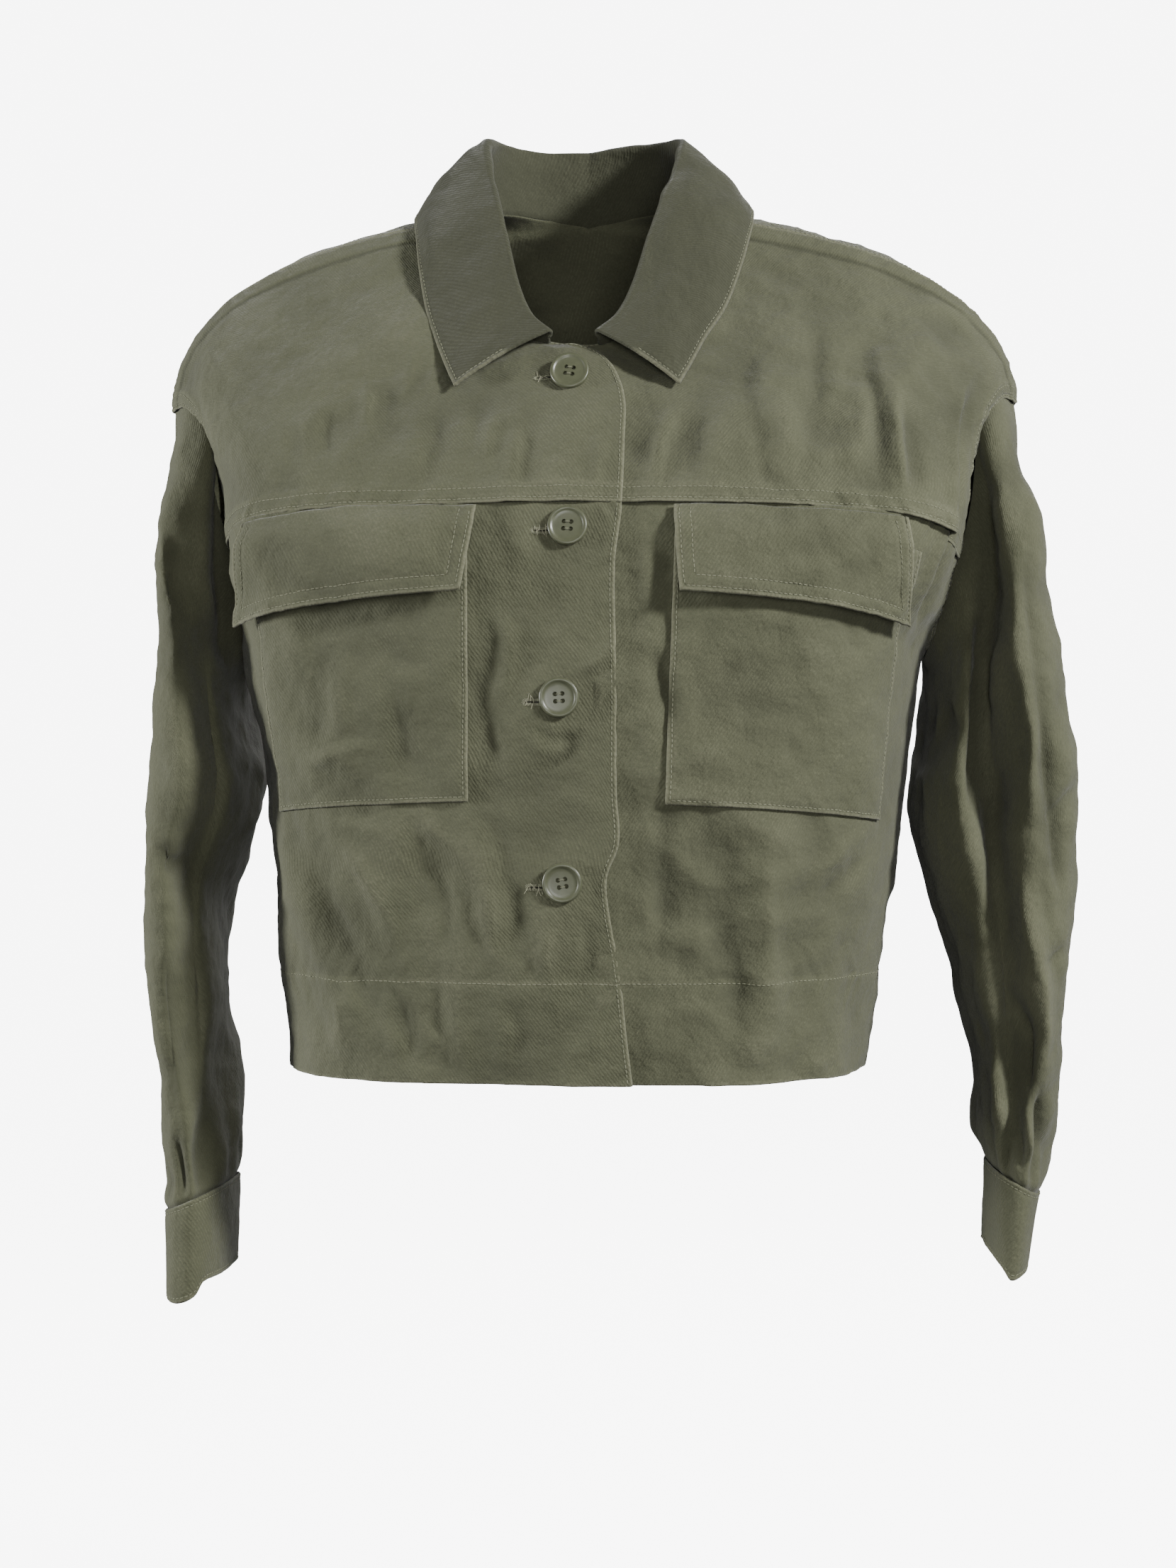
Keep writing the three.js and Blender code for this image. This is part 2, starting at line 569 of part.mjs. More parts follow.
// How far a cuff's point is moved out, so that the band's end lies over its start
function cuffLift(row, j, turn) {
  const angle = (turn * j) / CUFF_STEPS;
  const lift = CUFF_LIFT * smooth(angle, turn - CUFF_LAP - CUFF_RAMP, turn - CUFF_LAP);
  const along = row[Math.min(j + 1, CUFF_STEPS)].clone().sub(row[Math.max(j - 1, 0)]);
  return new THREE.Vector3(0, 0, 1).cross(along).normalize().multiplyScalar(lift);
}

function cuffGrid(side) {
  const start = CUFF_VENT - CUFF_LAP;
  const turn = 360 + CUFF_LAP;
  const grid = [0, 0.5, 1].map((at) =>
    spread(start, start + turn, CUFF_STEPS).map((angle) => sectionPoint(CUFF[side], at, angle, GROOVE_ANGLE[side])),
  );
  trimEdge(grid, 'bottom', TRIM + 0.1);
  return grid.map((row) => row.map((p, j) => p.clone().add(cuffLift(row, j, turn))));
}

function addCuff(side) {
  const sheet = sheetOf([cuffGrid(side)]);
  addPiece(`cuff_${side}`, geometryOf(wallOf(sheet, 0, -CUFF_WALL), side === 'right'));
}

// Collar: one folded wall from the neck seam over the roll to the outer edge

function seamPoint(side, seam) {
  if (seam <= 1) return bodyPoint(side, 1, 0, mix(NECK_LEVEL, 1, seam));
  return bodyPoint(side, -1, 0, mix(1, BACK_NECK_LEVEL, seam - 1));
}

// The collar's table with the place of its outer edge added to each row
function collarRows(side) {
  return COLLAR.map((row) => {
    const half = row.level <= 1 ? 1 : -1;
    const level = half > 0 ? row.level : 2 - row.level;
    const edge = bodyPoint(side, half, row[side], level);
    edge.addScaledVector(bodyNormal(side, half, row[side], level), row.lift);
    return { ...row, edgeX: edge.x, edgeY: edge.y, edgeZ: edge.z };
  });
}

const COLLAR_ROWS = { right: collarRows('right'), left: collarRows('left') };

function collarProfile(side, at) {
  const value = (name) => column(COLLAR_ROWS[side], 'at', name, at);
  const seam = seamPoint(side, value('seam'));
  const roll = new THREE.Vector3(value('rollX'), value('rollY'), value('rollZ'));
  const edge = new THREE.Vector3(value('edgeX'), value('edgeY'), value('edgeZ'));
  const up = roll.clone().sub(seam.clone().add(edge).multiplyScalar(0.5)).normalize();
  const across = edge.clone().sub(seam);
  across.addScaledVector(up, -across.dot(up)).normalize();
  const top = roll.clone().addScaledVector(up, -ROLL_RADIUS);
  const start = seam.clone().addScaledVector(up, COLLAR_SEAM_GAP);
  const standTop = top.clone().addScaledVector(across, -ROLL_RADIUS);
  const points = [0, 0.5].map((t) => start.clone().lerp(standTop, t));
  for (const turn of [0, 60, 120, 180]) {
    const arm = across.clone().multiplyScalar(-Math.cos(radians(turn)) * ROLL_RADIUS);
    points.push(top.clone().add(arm).addScaledVector(up, Math.sin(radians(turn)) * ROLL_RADIUS));
  }
  const leafTop = top.clone().addScaledVector(across, ROLL_RADIUS);
  for (const t of [0.33, 0.67, 1]) {
    points.push(leafTop.clone().lerp(edge, t).addScaledVector(across, LEAF_BULGE * 4 * t * (1 - t)));
  }
  return points;
}

function addCollar() {
  const stations = spread(0, 1, COLLAR_STATIONS);
  const right = stations.map((at) => collarProfile('right', at).map(mirrorPoint));
  const left = stations.map((at) => collarProfile('left', at)).reverse();
  const middle = right.pop().map((p, i) => p.lerp(left[0][i], 0.5));
  const grid = [...right, middle, ...left.slice(1)];
  addPiece('collar', geometryOf(wallOf(sheetOf([grid]), COLLAR_WALL / 2, -COLLAR_WALL / 2)));
}

// Pockets and flaps

// Steps run from the near side to the far one, rows from the lower edge to the top
function patchGrid(side, place, steps, rows, liftAt) {
  return spread(1, 0, rows).map((down) =>
    spread(0, 1, steps).map((t) => {
      const level = levelAt(place.top - (place.height + place.farDrop * t) * down);
      const near = acrossAt(side, level, place.near + place.nearFlare * down);
      const far = acrossAt(side, level, place.far + place.farFlare * down);
      const across = mix(near, far, t);
      const point = bodyPoint(side, 1, across, level);
      return point.addScaledVector(bodyNormal(side, 1, across, level), liftAt(t, down));
    }),
  );
}

function addPocket(side) {
  const bulge = (t, down) => POCKET_BULGE * (4 * t * (1 - t)) ** 0.6 * (1 - smooth(down, 0.55, 1));
  const grid = patchGrid(side, POCKETS[side], 9, 8, (t, down) => REST_GAP + bulge(t, down));
  addPiece(`pocket_${side}`, geometryOf(wallOf(sheetOf([grid]), 0, POCKET_WALL), side === 'right'));
}

function addFlap(side) {
  const overPocket = POCKET_BULGE + POCKET_WALL + 1;
  const lift = (t, down) => SEWN_GAP + overPocket * smooth(down, 0, 0.3) + FLAP_LIFT * down ** 1.5;
  const grid = patchGrid(side, FLAPS[side], 9, 5, lift);
  addPiece(`flap_${side}`, geometryOf(wallOf(sheetOf([grid]), 0, FLAP_WALL), side === 'right'));
}

// Buttons

function solidOf(geometry) {
  const bare = geometry.index ? geometry.toNonIndexed() : geometry;
  bare.deleteAttribute('normal');
  bare.deleteAttribute('uv');
  const merged = mergeVertices(bare, 1e-4);
  return new wasm.Manifold(new wasm.Mesh({
    numProp: 3,
    vertProperties: new Float32Array(merged.attributes.position.array),
    triVerts: new Uint32Array(merged.index.array),
  }));
}

// Turned on a lathe about +Z, from profile points of [radius, height]
function lathe(profile, segments) {
  const shape = new THREE.LatheGeometry(profile.map(([r, h]) => new THREE.Vector2(r, h)), segments);
  return shape.rotateX(Math.PI / 2);
}

function buttonMesh() {
  const dish = BUTTON_RADIUS - BUTTON_RIM;
  const top = BUTTON_HEIGHT;
  let solid = solidOf(lathe([
    [0, 0], [BUTTON_RADIUS - 1.2, 0], [BUTTON_RADIUS, 1.1], [BUTTON_RADIUS, top - 0.8],
    [BUTTON_RADIUS - 0.8, top], [dish, top], [dish - 0.8, top - BUTTON_RECESS], [0, top - BUTTON_RECESS],
  ], 20));
  const hole = [[0, -1], [HOLE_RADIUS, -1], [HOLE_RADIUS, top + 1], [0, top + 1]];
  for (const [x, y] of [[-1, -1], [-1, 1], [1, -1], [1, 1]]) {
    const drill = lathe(hole, 7).translate(x * HOLE_SPREAD / Math.SQRT2, y * HOLE_SPREAD / Math.SQRT2, 0);
    solid = solid.subtract(solidOf(drill));
  }
  return solid.getMesh();
}

const BUTTON_MESH = buttonMesh();

function addButton(name, centre, outward, scale = 1) {
  const geometry = new THREE.BufferGeometry();
  geometry.setAttribute('position', new THREE.Float32BufferAttribute(Array.from(BUTTON_MESH.vertProperties), 3));
  geometry.setIndex(Array.from(BUTTON_MESH.triVerts));
  geometry.scale(scale, scale, scale);
  geometry.applyQuaternion(new THREE.Quaternion().setFromUnitVectors(new THREE.Vector3(0, 0, 1), outward));
  geometry.translate(centre.x, centre.y, centre.z);
  addPiece(name, geometry, BUTTON_COLOUR, 0.45);
}

function mirrorVector(v) {
  v.x *= -1;
  return v;
}

function addFrontButtons() {
  BUTTONS.forEach(({ z, aside }, i) => {
    const level = levelAt(z);
    const across = acrossAt('right', level, aside);
    const outward = bodyNormal('right', 1, across, level);
    const centre = bodyPoint('right', 1, across, level).addScaledVector(outward, BUTTON_CLEARANCE);
    addButton(`button_${i + 1}`, mirrorVector(centre), mirrorVector(outward));
  });
}

// On the upper end of the cuff's lap
function addCuffButton(side) {
  const grid = cuffGrid(side);
  const place = CUFF_STEPS - 1;
  const along = grid[1][place + 1].clone().sub(grid[1][place - 1]);
  const down = grid[2][place].clone().sub(grid[0][place]);
  const outward = along.cross(down).normalize();
  const centre = grid[1][place].clone().addScaledVector(outward, BUTTON_CLEARANCE);
  if (side === 'right') [centre, outward].forEach(mirrorVector);
  addButton(`cuff_button_${side}`, centre, outward, CUFF_BUTTON_SCALE);
}

addBack();
for (const side of ['right', 'left']) {
  addFronts(side);
  addPocket(side);
  addFlap(side);
  addSleeve(side);
  addCuff(side);
  addCuffButton(side);
}
addCollar();
addFrontButtons();

export default jacket;
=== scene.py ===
# %% [markdown]
# # A cropped twill jacket
# The jacket is worn but hollow: two fronts with yokes, a back, long cuffed sleeves, a collar,
# flapped chest pockets and a button front. The frame gives the place and size of each piece.
# Each piece is made again here as a fine sheet of cloth with a wall, on the same rules as its
# solid, so that seams, creases and stitches can lie where a maker would find them.

import math

import bpy
import numpy as np
from mathutils import Matrix, Vector


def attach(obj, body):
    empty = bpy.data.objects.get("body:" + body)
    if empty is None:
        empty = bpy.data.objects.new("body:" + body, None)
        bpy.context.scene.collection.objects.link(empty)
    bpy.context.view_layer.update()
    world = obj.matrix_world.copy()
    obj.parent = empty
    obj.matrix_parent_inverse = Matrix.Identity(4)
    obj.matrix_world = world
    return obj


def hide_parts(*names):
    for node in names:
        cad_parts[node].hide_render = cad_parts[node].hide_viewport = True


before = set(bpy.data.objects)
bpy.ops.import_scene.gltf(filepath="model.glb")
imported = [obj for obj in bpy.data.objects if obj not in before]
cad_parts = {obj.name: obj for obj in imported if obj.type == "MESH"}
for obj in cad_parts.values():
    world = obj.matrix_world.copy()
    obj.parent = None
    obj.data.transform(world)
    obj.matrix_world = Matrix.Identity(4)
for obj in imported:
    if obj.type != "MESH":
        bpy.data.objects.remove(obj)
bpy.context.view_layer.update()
print("CAD pieces:", len(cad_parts))

# %% [markdown]
# ## Sizes
# A tailor works from a short table of body measures. Here each table has named columns, and a
# smooth curve runs through its rows, so a size can be read at any height. All lengths are in
# millimetres, the front faces -Y, and every half is worked out on the +X side first.

# %% Read a table at any place
CLOTH = 1.4
POCKET_CLOTH = 1.5
FLAP_CLOTH = 2.0
COLLAR_CLOTH = 2.2
CUFF_CLOTH = 2.0
SEAM_GAP = 0.15  # each panel stops this short of its seam
SEED = 20


def table(names, *rows):
    """One array of numbers for each named column."""
    return dict(zip(names.split(), np.array(rows, float).T))


def column(rows, key, name, at):
    """One column of a table at any places, on a smooth curve through its rows."""
    keys, values = rows[key], rows[name]
    last = len(keys) - 1
    before = np.clip(np.arange(last + 1) - 1, 0, last)
    after = np.clip(np.arange(last + 1) + 1, 0, last)
    slopes = (values[after] - values[before]) / (keys[after] - keys[before])
    i = np.searchsorted(keys[1:-1], at, side="left")
    span = keys[i + 1] - keys[i]
    t = np.clip((at - keys[i]) / span, 0, 1)
    start = (2 * t**3 - 3 * t**2 + 1) * values[i] + (t**3 - 2 * t**2 + t) * span * slopes[i]
    end = (3 * t**2 - 2 * t**3) * values[i + 1] + (t**3 - t**2) * span * slopes[i + 1]
    return start + end


def mix(a, b, t):
    return a + (b - a) * t


def smooth(x, low, high):
    t = np.clip((x - low) / (high - low), 0, 1)
    return t * t * (3 - 2 * t)


def points(x, y, z):
    return np.stack(np.broadcast_arrays(x, y, z), axis=-1).astype(float)


def unit(v):
    return v / np.maximum(np.linalg.norm(v, axis=-1, keepdims=True), 1e-9)


def dot(a, b):
    return np.sum(a * b, axis=-1, keepdims=True)


# %% The body's measures
# Levels run from 0 at the hem to 1 at the shoulder seam.
UNDERARM_LEVEL = 0.5
YOKE_LEVEL = 1 - 105 / 360
NECK_LEVEL = 1 - 60 / 360
BACK_NECK_LEVEL = 0.955
SHOULDER_CROWN = 9
FRONT_LINE = table(
    "level z depth",
    (0, -517, 116),
    (0.115, -457, 120),
    (0.3, -361, 126),
    (UNDERARM_LEVEL, -258, 130),
    (YOKE_LEVEL, -188, 125),
    (0.777, -136, 104),
    (NECK_LEVEL, -92, 74),
)
BACK_LINE = table(
    "level z depth",
    (0, -515, 98),
    (0.3, -361, 103),
    (UNDERARM_LEVEL, -258, 110),
    (0.7, -165, 115),
    (0.85, -84, 108),
    (0.92, -34, 88),
    (BACK_NECK_LEVEL, 2, 60),
)
SIDE_SEAM = table(
    "level z right left",
    (0, -515, 177, 170),
    (0.115, -457, 182, 178),
    (0.3, -366, 191, 193),
    (0.42, -308, 199, 199),
    (UNDERARM_LEVEL, -272, 205, 205),
)
SIDE_Y = 16
ROW_SHAPE = table(
    "level box slope",
    (0, 0.035, 0),
    (UNDERARM_LEVEL, 0.055, 0),
    (YOKE_LEVEL, 0.075, 0),
    (NECK_LEVEL, 0.07, 0.05),
    (1, 0.02, 0.12),
)
NECK_HALF_WIDTH = 76
NECK_SIDE_Y, NECK_SIDE_Z = -12, -8
# Round the armhole: 0 at the shoulder, 90 in front, 180 under the arm, 270 behind
ARMHOLE = table(
    "angle right left y rightZ leftZ",
    (0, 253, 261, 12, -117, -116),
    (30, 240, 250, -12, -118, -117),
    (60, 220, 234, -26, -139, -140),
    (90, 211, 228, -28, -187, -193),
    (120, 206, 217, -24, -226, -236),
    (150, 203, 208, -8, -259, -263),
    (180, 205, 205, SIDE_Y, -272, -272),
    (210, 205, 206, 40, -260, -260),
    (240, 209, 214, 53, -229, -229),
    (270, 218, 224, 58, -188, -188),
    (300, 231, 239, 54, -149, -149),
    (330, 245, 253, 38, -124, -123),
    (360, 253, 261, 12, -117, -116),
)
EXTENSION = 29
EXTENSION_CORNER = 44
OVERLAP_SHIFT = 1.1
OVERLAP_FADE = (32, 48)
print("armhole height:", ARMHOLE["leftZ"].max() - ARMHOLE["leftZ"].min(), "mm")

# %% [markdown]
# ## The body's surface
# A jacket front is a flat panel bent round the trunk. Its rows are rounded boxes that run from
# the centre line to the side seam or the armhole, and the rows above the neck start on the
# neckline. Large folds are added along the surface's own normal, because cloth moves out or in.


# %% Points of the body
def armhole_point(side, angle):
    value = lambda name: column(ARMHOLE, "angle", name, np.mod(angle, 360))
    return points(value(side), value("y"), value(side + "Z"))


def neckline_point(seam):
    """Along the neckline: 0 at the centre front, 1 at the shoulder, 2 at the centre back."""
    front = seam <= 1
    a = np.radians(90 * np.where(front, seam, 2 - seam))
    y = np.where(front, -FRONT_LINE["depth"][-1], BACK_LINE["depth"][-1])
    z = np.where(front, FRONT_LINE["z"][-1], BACK_LINE["z"][-1])
    return points(
        NECK_HALF_WIDTH * np.sin(a), mix(NECK_SIDE_Y, y, np.cos(a)), mix(NECK_SIDE_Z, z, np.cos(a))
    )


def centre_point(half, level):
    line, neck = (FRONT_LINE, NECK_LEVEL) if half > 0 else (BACK_LINE, BACK_NECK_LEVEL)
    low = points(0, -half * column(line, "level", "depth", level), column(line, "level", "z", level))
    along = np.clip((level - neck) / (1 - neck), 0, 1)
    high = neckline_point(along if half > 0 else 2 - along)
    return np.where((level > neck)[..., None], high, low)


def edge_point(side, half, level):
    low = points(
        column(SIDE_SEAM, "level", side, level), SIDE_Y, column(SIDE_SEAM, "level", "z", level)
    )
    high = armhole_point(side, half * 360 * (1 - level))
    return np.where((level > UNDERARM_LEVEL)[..., None], high, low)


def smooth_body(side, half, across, level):
    """The surface before its folds. Half is 1 for the front and -1 for the back."""
    across, level = np.broadcast_arrays(across, level)
    centre, edge = centre_point(half, level), edge_point(side, half, level)
    box = column(ROW_SHAPE, "level", "box", level)
    slope = column(ROW_SHAPE, "level", "slope", level)
    a = across * np.pi / 2
    out = (np.sin(a) + box * np.sin(3 * a)) / (1 - box)
    fall = 1 - (np.cos(a) - box * np.cos(3 * a)) / (1 - box)
    reach = edge[..., 0] - centre[..., 0]
    rest = edge[..., 2] - centre[..., 2] + slope * reach
    z = centre[..., 2] - slope * reach * np.abs(out) + rest * fall
    if half < 0:
        through = np.clip((1 - level) / (1 - BACK_NECK_LEVEL), 0, 1)
        z = z + SHOULDER_CROWN * np.sin(np.pi * through) * (1 - fall)
    return points(centre[..., 0] + reach * out, mix(centre[..., 1], edge[..., 1], fall), z)


def body_normal(side, half, across, level):
    step = 0.004
    v = np.clip(level, 0.01, 0.99)
    du = smooth_body(side, half, across + step, v) - smooth_body(side, half, across - step, v)
    dv = smooth_body(side, half, across, v + step) - smooth_body(side, half, across, v - step)
    return unit(np.cross(du, dv)) * half


# %% Large folds of the solids
FRONT_FOLDS = [
    # side, across and level at both ends, width in across, height
    ("right", 0.3, 0.95, 0.24, 0.76, 0.05, -2.5),
    ("right", 0.5, 0.95, 0.47, 0.76, 0.05, 2),
    ("right", 0.68, 0.29, 0.42, 0.03, 0.07, 5),
    ("right", 0.25, 0.4, 0.24, 0.02, 0.05, -4),
    ("left", 0.24, 0.84, 0.17, 0.72, 0.04, 3),
    ("left", 0.38, 0.96, 0.35, 0.74, 0.05, -4),
    ("left", 0.5, 0.97, 0.49, 0.74, 0.045, 3),
    ("left", 0.71, 0.9, 0.72, 0.56, 0.035, 4),
    ("left", 0.8, 0.86, 0.8, 0.56, 0.04, -5),
    ("left", 0.34, 0.27, 0.38, 0.02, 0.07, 3),
]
BACK_FOLDS = [
    ("right", 0.76, 0.9, 0.72, 0.5, 0.06, -5),
    ("left", 0.76, 0.88, 0.73, 0.46, 0.06, -5),
    ("right", 0.42, 0.6, 0.36, 0.05, 0.08, 4),
    ("left", 0.44, 0.55, 0.4, 0.05, 0.08, 4),
]


def fold_height(folds, side, across, level):
    height = np.zeros(np.broadcast(across, level).shape)
    for at_side, across0, level0, across1, level1, width, rise in folds:
        if at_side != side:
            continue
        along = (level - level0) / (level1 - level0)
        away = (across - mix(across0, across1, np.clip(along, 0, 1))) / width
        ends = smooth(along, -0.12, 0.25) * (1 - smooth(along, 0.75, 1.12))
        height = height + rise * ends * np.exp(-(away**2))
    return height


def body_point(side, half, across, level):
    """A point of the worn surface, its folds and the overlap of the fronts included."""
    across, level = np.broadcast_arrays(np.asarray(across, float), np.asarray(level, float))
    place = smooth_body(side, half, across, level)
    inland = smooth(np.abs(place[..., 0]), *OVERLAP_FADE) * (1 - smooth(np.abs(across), 0.9, 1))
    height = fold_height(FRONT_FOLDS if half > 0 else BACK_FOLDS, side, across, level) * inland
    if half > 0:
        shift = OVERLAP_SHIFT if side == "right" else -OVERLAP_SHIFT
        fade = 1 - smooth(place[..., 0], *OVERLAP_FADE)
        height = height + shift * fade * (1 - smooth(level, NECK_LEVEL, NECK_LEVEL + 0.05))
    return place + body_normal(side, half, across, level) * height[..., None]


def across_at(side, level, length):
    """How far across each row a length of cloth from the centre front reaches."""
    steps = np.linspace(0, 1, 161)
    rows = smooth_body(side, 1, steps[None, :], level[:, None])
    walked = np.cumsum(np.linalg.norm(np.diff(rows, axis=1), axis=-1), axis=1)
    walked = np.concatenate([np.zeros((len(level), 1)), walked], axis=1)
    length = np.broadcast_to(length, level.shape)
    return np.array([np.interp(want, row, steps) for want, row in zip(length, walked)])


def level_at(z):
    levels = np.linspace(0, NECK_LEVEL, 800)
    return np.interp(z, column(FRONT_LINE, "level", "z", levels), levels)


print("centre front at the yoke seam:", body_point("left", 1, 0, YOKE_LEVEL).round(1))

# %% [markdown]
# ## Creases
# Worn twill breaks into soft troughs and ridges, uneven in length, depth and spacing. A cloth
# simulation makes fresh ones each time, but the ones on this jacket have their places, so they
# are laid one by one: each is a line seen from the front or the back, with a width and a height. A
# crisp crease has a sharper top, and each has a shallow counter-fold beside it. Seams add small
# puckers, from their stitches' pull.

# %% Crease tables
# piece, width, height, crispness, and the line's places as (distance from the middle, height)
CREASES = {
    "right": [
        ("front", 7, 1.1, 0.1, [(43, -244), (33, -264), (36, -290), (50, -310)]),
        ("front", 10, -0.9, 0, [(53, -280), (50, -300), (43, -327), (39, -344)]),
        ("front", 9, -1.3, 0.1, [(53, -353), (38, -380), (33, -410), (31, -437), (23, -457)]),
        ("front", 6, 1.0, 0.2, [(50, -393), (46, -413), (43, -440), (36, -457)]),
        ("front", 8, 1.2, 0.2, [(143, -363), (121, -393), (103, -423), (94, -457)]),
        ("front", 8, -1.1, 0.1, [(159, -377), (146, -403), (131, -433), (119, -457)]),
        ("front", 6, 1.0, 0.1, [(86, -363), (68, -380), (53, -398)]),
        ("front", 7, -0.8, 0, [(76, -387), (68, -413), (70, -447)]),
        ("front", 4, -1.3, 0.5, [(19, -311), (11, -322), (-2, -322), (-7, -314)]),
        ("front", 5, -1.3, 0.3, [(-7, -322), (2, -331), (13, -339)]),
        ("front", 5, 1.0, 0.3, [(-4, -286), (-21, -276), (-38, -260)]),
        ("front", 5, -0.9, 0.2, [(-7, -295), (-24, -284), (-35, -277)]),
        ("front", 5, 0.9, 0.4, [(12, -425), (15, -442), (14, -458)]),
        ("front", 7, -0.7, 0.1, [(24, -400), (28, -413), (27, -433)]),
        ("front", 6, -0.9, 0.1, [(-9, -420), (-13, -440), (-12, -457)]),
        ("front", 7, 0.8, 0.1, [(63, -458), (64, -480), (61, -513)]),
        ("front", 8, -0.9, 0.1, [(99, -463), (92, -490), (93, -515)]),
        ("front", 7, -0.7, 0.1, [(36, -463), (28, -487), (30, -513)]),
        ("front", 6, 0.7, 0.1, [(133, -462), (134, -480), (129, -505)]),
        ("front", 5, -0.9, 0.4, [(-4, -513), (-20, -497), (-26, -477)]),
        ("front", 7, 0.8, 0.1, [(122, -264), (129, -290), (131, -314), (149, -347)]),
        ("front", 7, -0.7, 0.1, [(109, -264), (93, -278), (71, -280)]),
        ("front", 4, 0.8, 0.4, [(159, -337), (129, -327), (99, -324)]),
        ("front", 8, -0.5, 0, [(99, -290), (93, -320), (94, -347)]),
        ("yoke", 5, 0.8, 0.3, [(121, -112), (119, -128), (121, -146)]),
        ("yoke", 5, 0.8, 0.3, [(159, -132), (154, -148), (152, -166)]),
        ("yoke", 5, 0.7, 0.3, [(93, -98), (97, -112), (100, -128)]),
        ("yoke", 6, -0.8, 0.2, [(140, -126), (141, -144), (134, -164)]),
        ("yoke", 5, 1.2, 0.4, [(43, -128), (47, -148), (48, -168)]),
        ("yoke", 5, -1.1, 0.4, [(22, -140), (25, -160), (26, -182)]),
        ("yoke", 5, 0.7, 0.2, [(-15, -144), (-16, -164), (-13, -184)]),
        ("yoke", 8, -0.7, 0, [(73, -128), (77, -152), (81, -180)]),
        ("sleeve", 7, -3.5, 0.2, [(212, -112), (214, -180), (214, -240), (211, -310)]),
        ("sleeve", 7, -1.5, 0.1, [(242, -193), (238, -218), (239, -244)]),
        ("sleeve", 6, -2.0, 0.3, [(250, -382), (241, -392), (229, -396)]),
        ("sleeve", 9, 1.2, 0, [(231, -244), (230, -327), (229, -407)]),
        ("sleeve", 8, -1.2, 0, [(242, -428), (239, -486), (241, -537)]),
        ("sleeve", 7, 1.4, 0.2, [(227, -440), (226, -503), (229, -570)]),
        ("sleeve", 5, -1.3, 0.3, [(241, -553), (233, -579), (231, -595)]),
        ("sleeve", 5, 1.4, 0.3, [(216, -537), (217, -570), (216, -591)]),
        ("sleeve", 7, -1.4, 0.1, [(211, -407), (216, -461), (214, -512)]),
    ],
    "left": [
        ("front", 7, -1.3, 0.2, [(45, -264), (57, -304), (53, -328)]),
        ("front", 6, 0.8, 0, [(41, -208), (47, -248), (45, -264)]),
        ("front", 8, -0.9, 0, [(51, -344), (53, -404), (49, -452)]),
        ("front", 9, 0.8, 0, [(79, -380), (73, -420), (69, -454)]),
        ("front", 9, 1.1, 0, [(109, -376), (113, -424), (117, -497)]),
        ("front", 5, 0.8, 0.4, [(135, -400), (151, -390), (165, -370)]),
        ("front", 5, -0.7, 0.3, [(139, -414), (157, -402), (169, -384)]),
        ("front", 9, -1.0, 0, [(87, -424), (95, -464), (93, -509)]),
        ("yoke", 7, -1.0, 0.2, [(97, -92), (103, -128), (112, -182)]),
        ("yoke", 8, 0.6, 0, [(121, -118), (126, -180)]),
        ("yoke", 6, -0.7, 0.1, [(139, -64), (141, -100), (138, -150)]),
        ("yoke", 8, 0.5, 0, [(152, -96), (155, -128), (159, -184)]),
        ("yoke", 6, -1.4, 0.3, [(165, -90), (174, -128), (177, -180)]),
        ("yoke", 5, 1.8, 0.6, [(184, -120), (187, -148), (190, -186)]),
        ("yoke", 6, 1.6, 0.5, [(59, -126), (51, -152), (44, -182)]),
        ("yoke", 7, -1.0, 0.2, [(73, -128), (69, -152), (66, -182)]),
        ("sleeve", 8, -4.2, 0.2, [(231, -112), (235, -160), (239, -210), (240, -262), (226, -385)]),
        ("sleeve", 5, 2.0, 0.5, [(254, -218), (258, -273), (265, -317), (265, -375)]),
        ("sleeve", 6, 2.4, 0.5, [(258, -378), (264, -424), (270, -461), (273, -516)]),
        ("sleeve", 7, -2.0, 0.3, [(269, -296), (279, -373), (284, -432)]),
        ("sleeve", 5, -2.2, 0.4, [(255, -468), (265, -493), (262, -532)]),
        ("sleeve", 5, 1.8, 0.4, [(243, -503), (252, -557)]),
        ("sleeve", 5, 2.0, 0.4, [(262, -528), (266, -570)]),
        ("sleeve", 4, -2.0, 0.4, [(271, -522), (273, -567)]),
        ("sleeve", 4, -1.8, 0.4, [(257, -541), (259, -574)]),
        ("sleeve", 8, -1.8, 0.1, [(249, -323), (243, -378), (245, -428)]),
        ("sleeve", 9, 1.8, 0.1, [(222, -302), (224, -352), (233, -407)]),
        ("sleeve", 8, -1.8, 0.1, [(224, -428), (233, -478), (241, -512)]),
        ("sleeve", 5, -1.8, 0.4, [(292, -344), (283, -361), (274, -369)]),
        ("sleeve", 5, -1.3, 0.4, [(286, -440), (277, -449), (268, -450)]),
    ],
}
